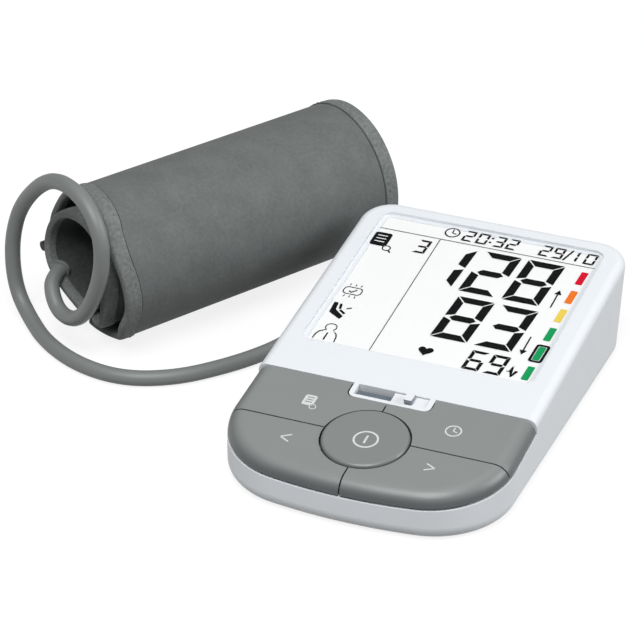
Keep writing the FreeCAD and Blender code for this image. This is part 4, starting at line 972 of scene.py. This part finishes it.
def makeDisplay():
    film = [roundedBox(*display["film"])]
    flatMark("displayFilm", film, (0, 0), panel["filmLevel"], finishes["lcd_glass"], "monitor")
    marks = {"displayMarks": ("black", displayShapes()),
             "displayLines": ("line", [stroke(*line) for line in display["lines"]])}
    x, (a, b), lean, shift = display["scaleX"], display["barHalf"], display["scaleLean"], display["barShift"]
    for i, (ink, y) in enumerate(display["scale"]):
        marks["scaleBar%d" % (i + 1)] = (ink, [roundedBox(x - a - shift, y - b, x + a - shift, y + b,
                                                          display["barRadius"], lean)])
        if i == display["framed"]:
            marks["scaleFrame"] = ("black", [
                roundedBox(x - a - left, y - b - foot, x + a + right, y + b + top, radius, lean)
                for left, foot, right, top, radius in display["frame"]])
    for name, (ink, shapes) in marks.items():
        flatMark(name, shapes, panel["displayZero"], panel["markLevel"], inks[ink], "monitor")


def makeKeyMarks():
    zero = panel["keyZero"]
    marks = {
        "memory_key": [roundedBox(-31.4, -18.8, -26.6, -12.6, 0.9)]
        + [stroke(-30.4, y, -27.6, y, 0.55) for y in (-14.0, -15.4, -16.8)] + ring(-26.4, -19.2, 1.5, 1.1),
        "clock_key": ring(29.6, -15.7, 3.3, 2.7)
        + [stroke(29.6, -16.0, 29.6, -13.6, 0.5), stroke(29.8, -15.8, 31.4, -16.4, 0.5)],
        "back_key": [stroke(-30.9, -39.6, -27.1, -37.2, 0.6), stroke(-30.9, -39.6, -27.1, -41.6, 0.6)],
        "forward_key": [stroke(30.8, -38.7, 27.0, -36.9, 0.6), stroke(30.8, -38.7, 27.0, -40.7, 0.6)],
    }
    for key, shapes in marks.items():
        name = key.split("_")[0] + "Mark"
        flatMark(name, shapes, zero, panel["keyLevel"], inks["key"], key)
    start = ring(0.7, -32.1, 5.0, 4.2) + [stroke(0.7, -34.4, 0.7, -29.8, 0.8)]
    flatMark("startMark", start, zero, panel["startLevel"], inks["key"],
             "start_stop_button")


makeDisplay()
makeKeyMarks()
print("marks on the display and keys")


# floor, light and camera

studio = {
    # lengths in metres
    "floorSize": 8.0,
    "floorGap": 0.00005,        # keeps the base's flat faces off the floor's own
    "floorColour": "#787878",
    "floorLift": 0.84,          # added for the camera and reflections, so the floor reads white
    "skyStrength": 0.28,
    # softboxes: place, size and watts
    "lamps": [((0.1, -0.95, 1.75), 1.3, 34.5), ((1.6, 0.5, 0.9), 0.9, 15.0)],
}


def makeFloor():
    deselectAll()
    bpy.ops.mesh.primitive_plane_add(size=studio["floorSize"], location=(0, 0, -studio["floorGap"]))
    floor = bpy.context.object
    floor.name = "floor"
    finish, tree, shader = newFinish("paleFloor", Roughness=1.0)
    shader.inputs["Base Color"].default_value = linearColour(studio["floorColour"])
    shader.inputs["Specular IOR Level"].default_value = 0.0
    rays = addNode(tree, "ShaderNodeLightPath").outputs
    seen = addNode(tree, "ShaderNodeMath", {"operation": "MAXIMUM"},
                   {0: rays["Is Camera Ray"], 1: rays["Is Glossy Ray"]})
    seenToo = addNode(tree, "ShaderNodeMath", {"operation": "MAXIMUM"},
                      {0: seen.outputs[0], 1: rays["Is Transmission Ray"]})
    lift = addNode(tree, "ShaderNodeMath", {"operation": "MULTIPLY", 1: studio["floorLift"]},
                   {0: seenToo.outputs[0]})
    glow = addNode(tree, "ShaderNodeEmission", {"Color": (1, 1, 1, 1)}, {"Strength": lift.outputs[0]})
    both = addNode(tree, "ShaderNodeAddShader", {}, {0: shader.outputs["BSDF"], 1: glow.outputs["Emission"]})
    # clear from underneath, so that the base can be looked at
    clear = addNode(tree, "ShaderNodeBsdfTransparent")
    back = addNode(tree, "ShaderNodeNewGeometry").outputs["Backfacing"]
    oneSided = addNode(tree, "ShaderNodeMixShader", {}, {0: back, 1: both.outputs[0], 2: clear.outputs[0]})
    tree.links.new(oneSided.outputs[0], tree.nodes["Material Output"].inputs["Surface"])
    floor.data.materials.append(finish)


def makeLight():
    world = bpy.data.worlds.new("studioSky")
    bpy.context.scene.world = world
    world.use_nodes = True
    sky = world.node_tree.nodes["Background"]
    sky.inputs["Color"].default_value = (1, 1, 1, 1)
    sky.inputs["Strength"].default_value = studio["skyStrength"]
    for place, size, power in studio["lamps"]:
        lamp = bpy.data.lights.new("softbox", "AREA")
        lamp.shape = "DISK"
        lamp.size = size
        lamp.energy = power
        holder = bpy.data.objects.new("softbox", lamp)
        bpy.context.scene.collection.objects.link(holder)
        holder.location = place
        holder.rotation_euler = Vector(place).to_track_quat("Z", "Y").to_euler()


shot = {
    # place and aim in metres, lens and sensor in millimetres
    "place": (0.3402, -0.9168, 0.6030),
    "lookAt": (-0.0645, 0.0572, 0.0),
    "lens": 162.65,
    "sensor": 36.0,
}


def makeCamera():
    camera = bpy.data.cameras.new("camera")
    camera.sensor_width = shot["sensor"]
    camera.lens = shot["lens"]
    camera.clip_end = 20.0
    holder = bpy.data.objects.new("camera", camera)
    bpy.context.scene.collection.objects.link(holder)
    place = Vector(shot["place"])
    holder.location = place
    holder.rotation_euler = (place - Vector(shot["lookAt"])).to_track_quat("Z", "Y").to_euler()
    bpy.context.scene.camera = holder


makeFloor()
makeLight()
makeCamera()
bpy.context.scene.view_settings.view_transform = "Standard"
print("studio ready")
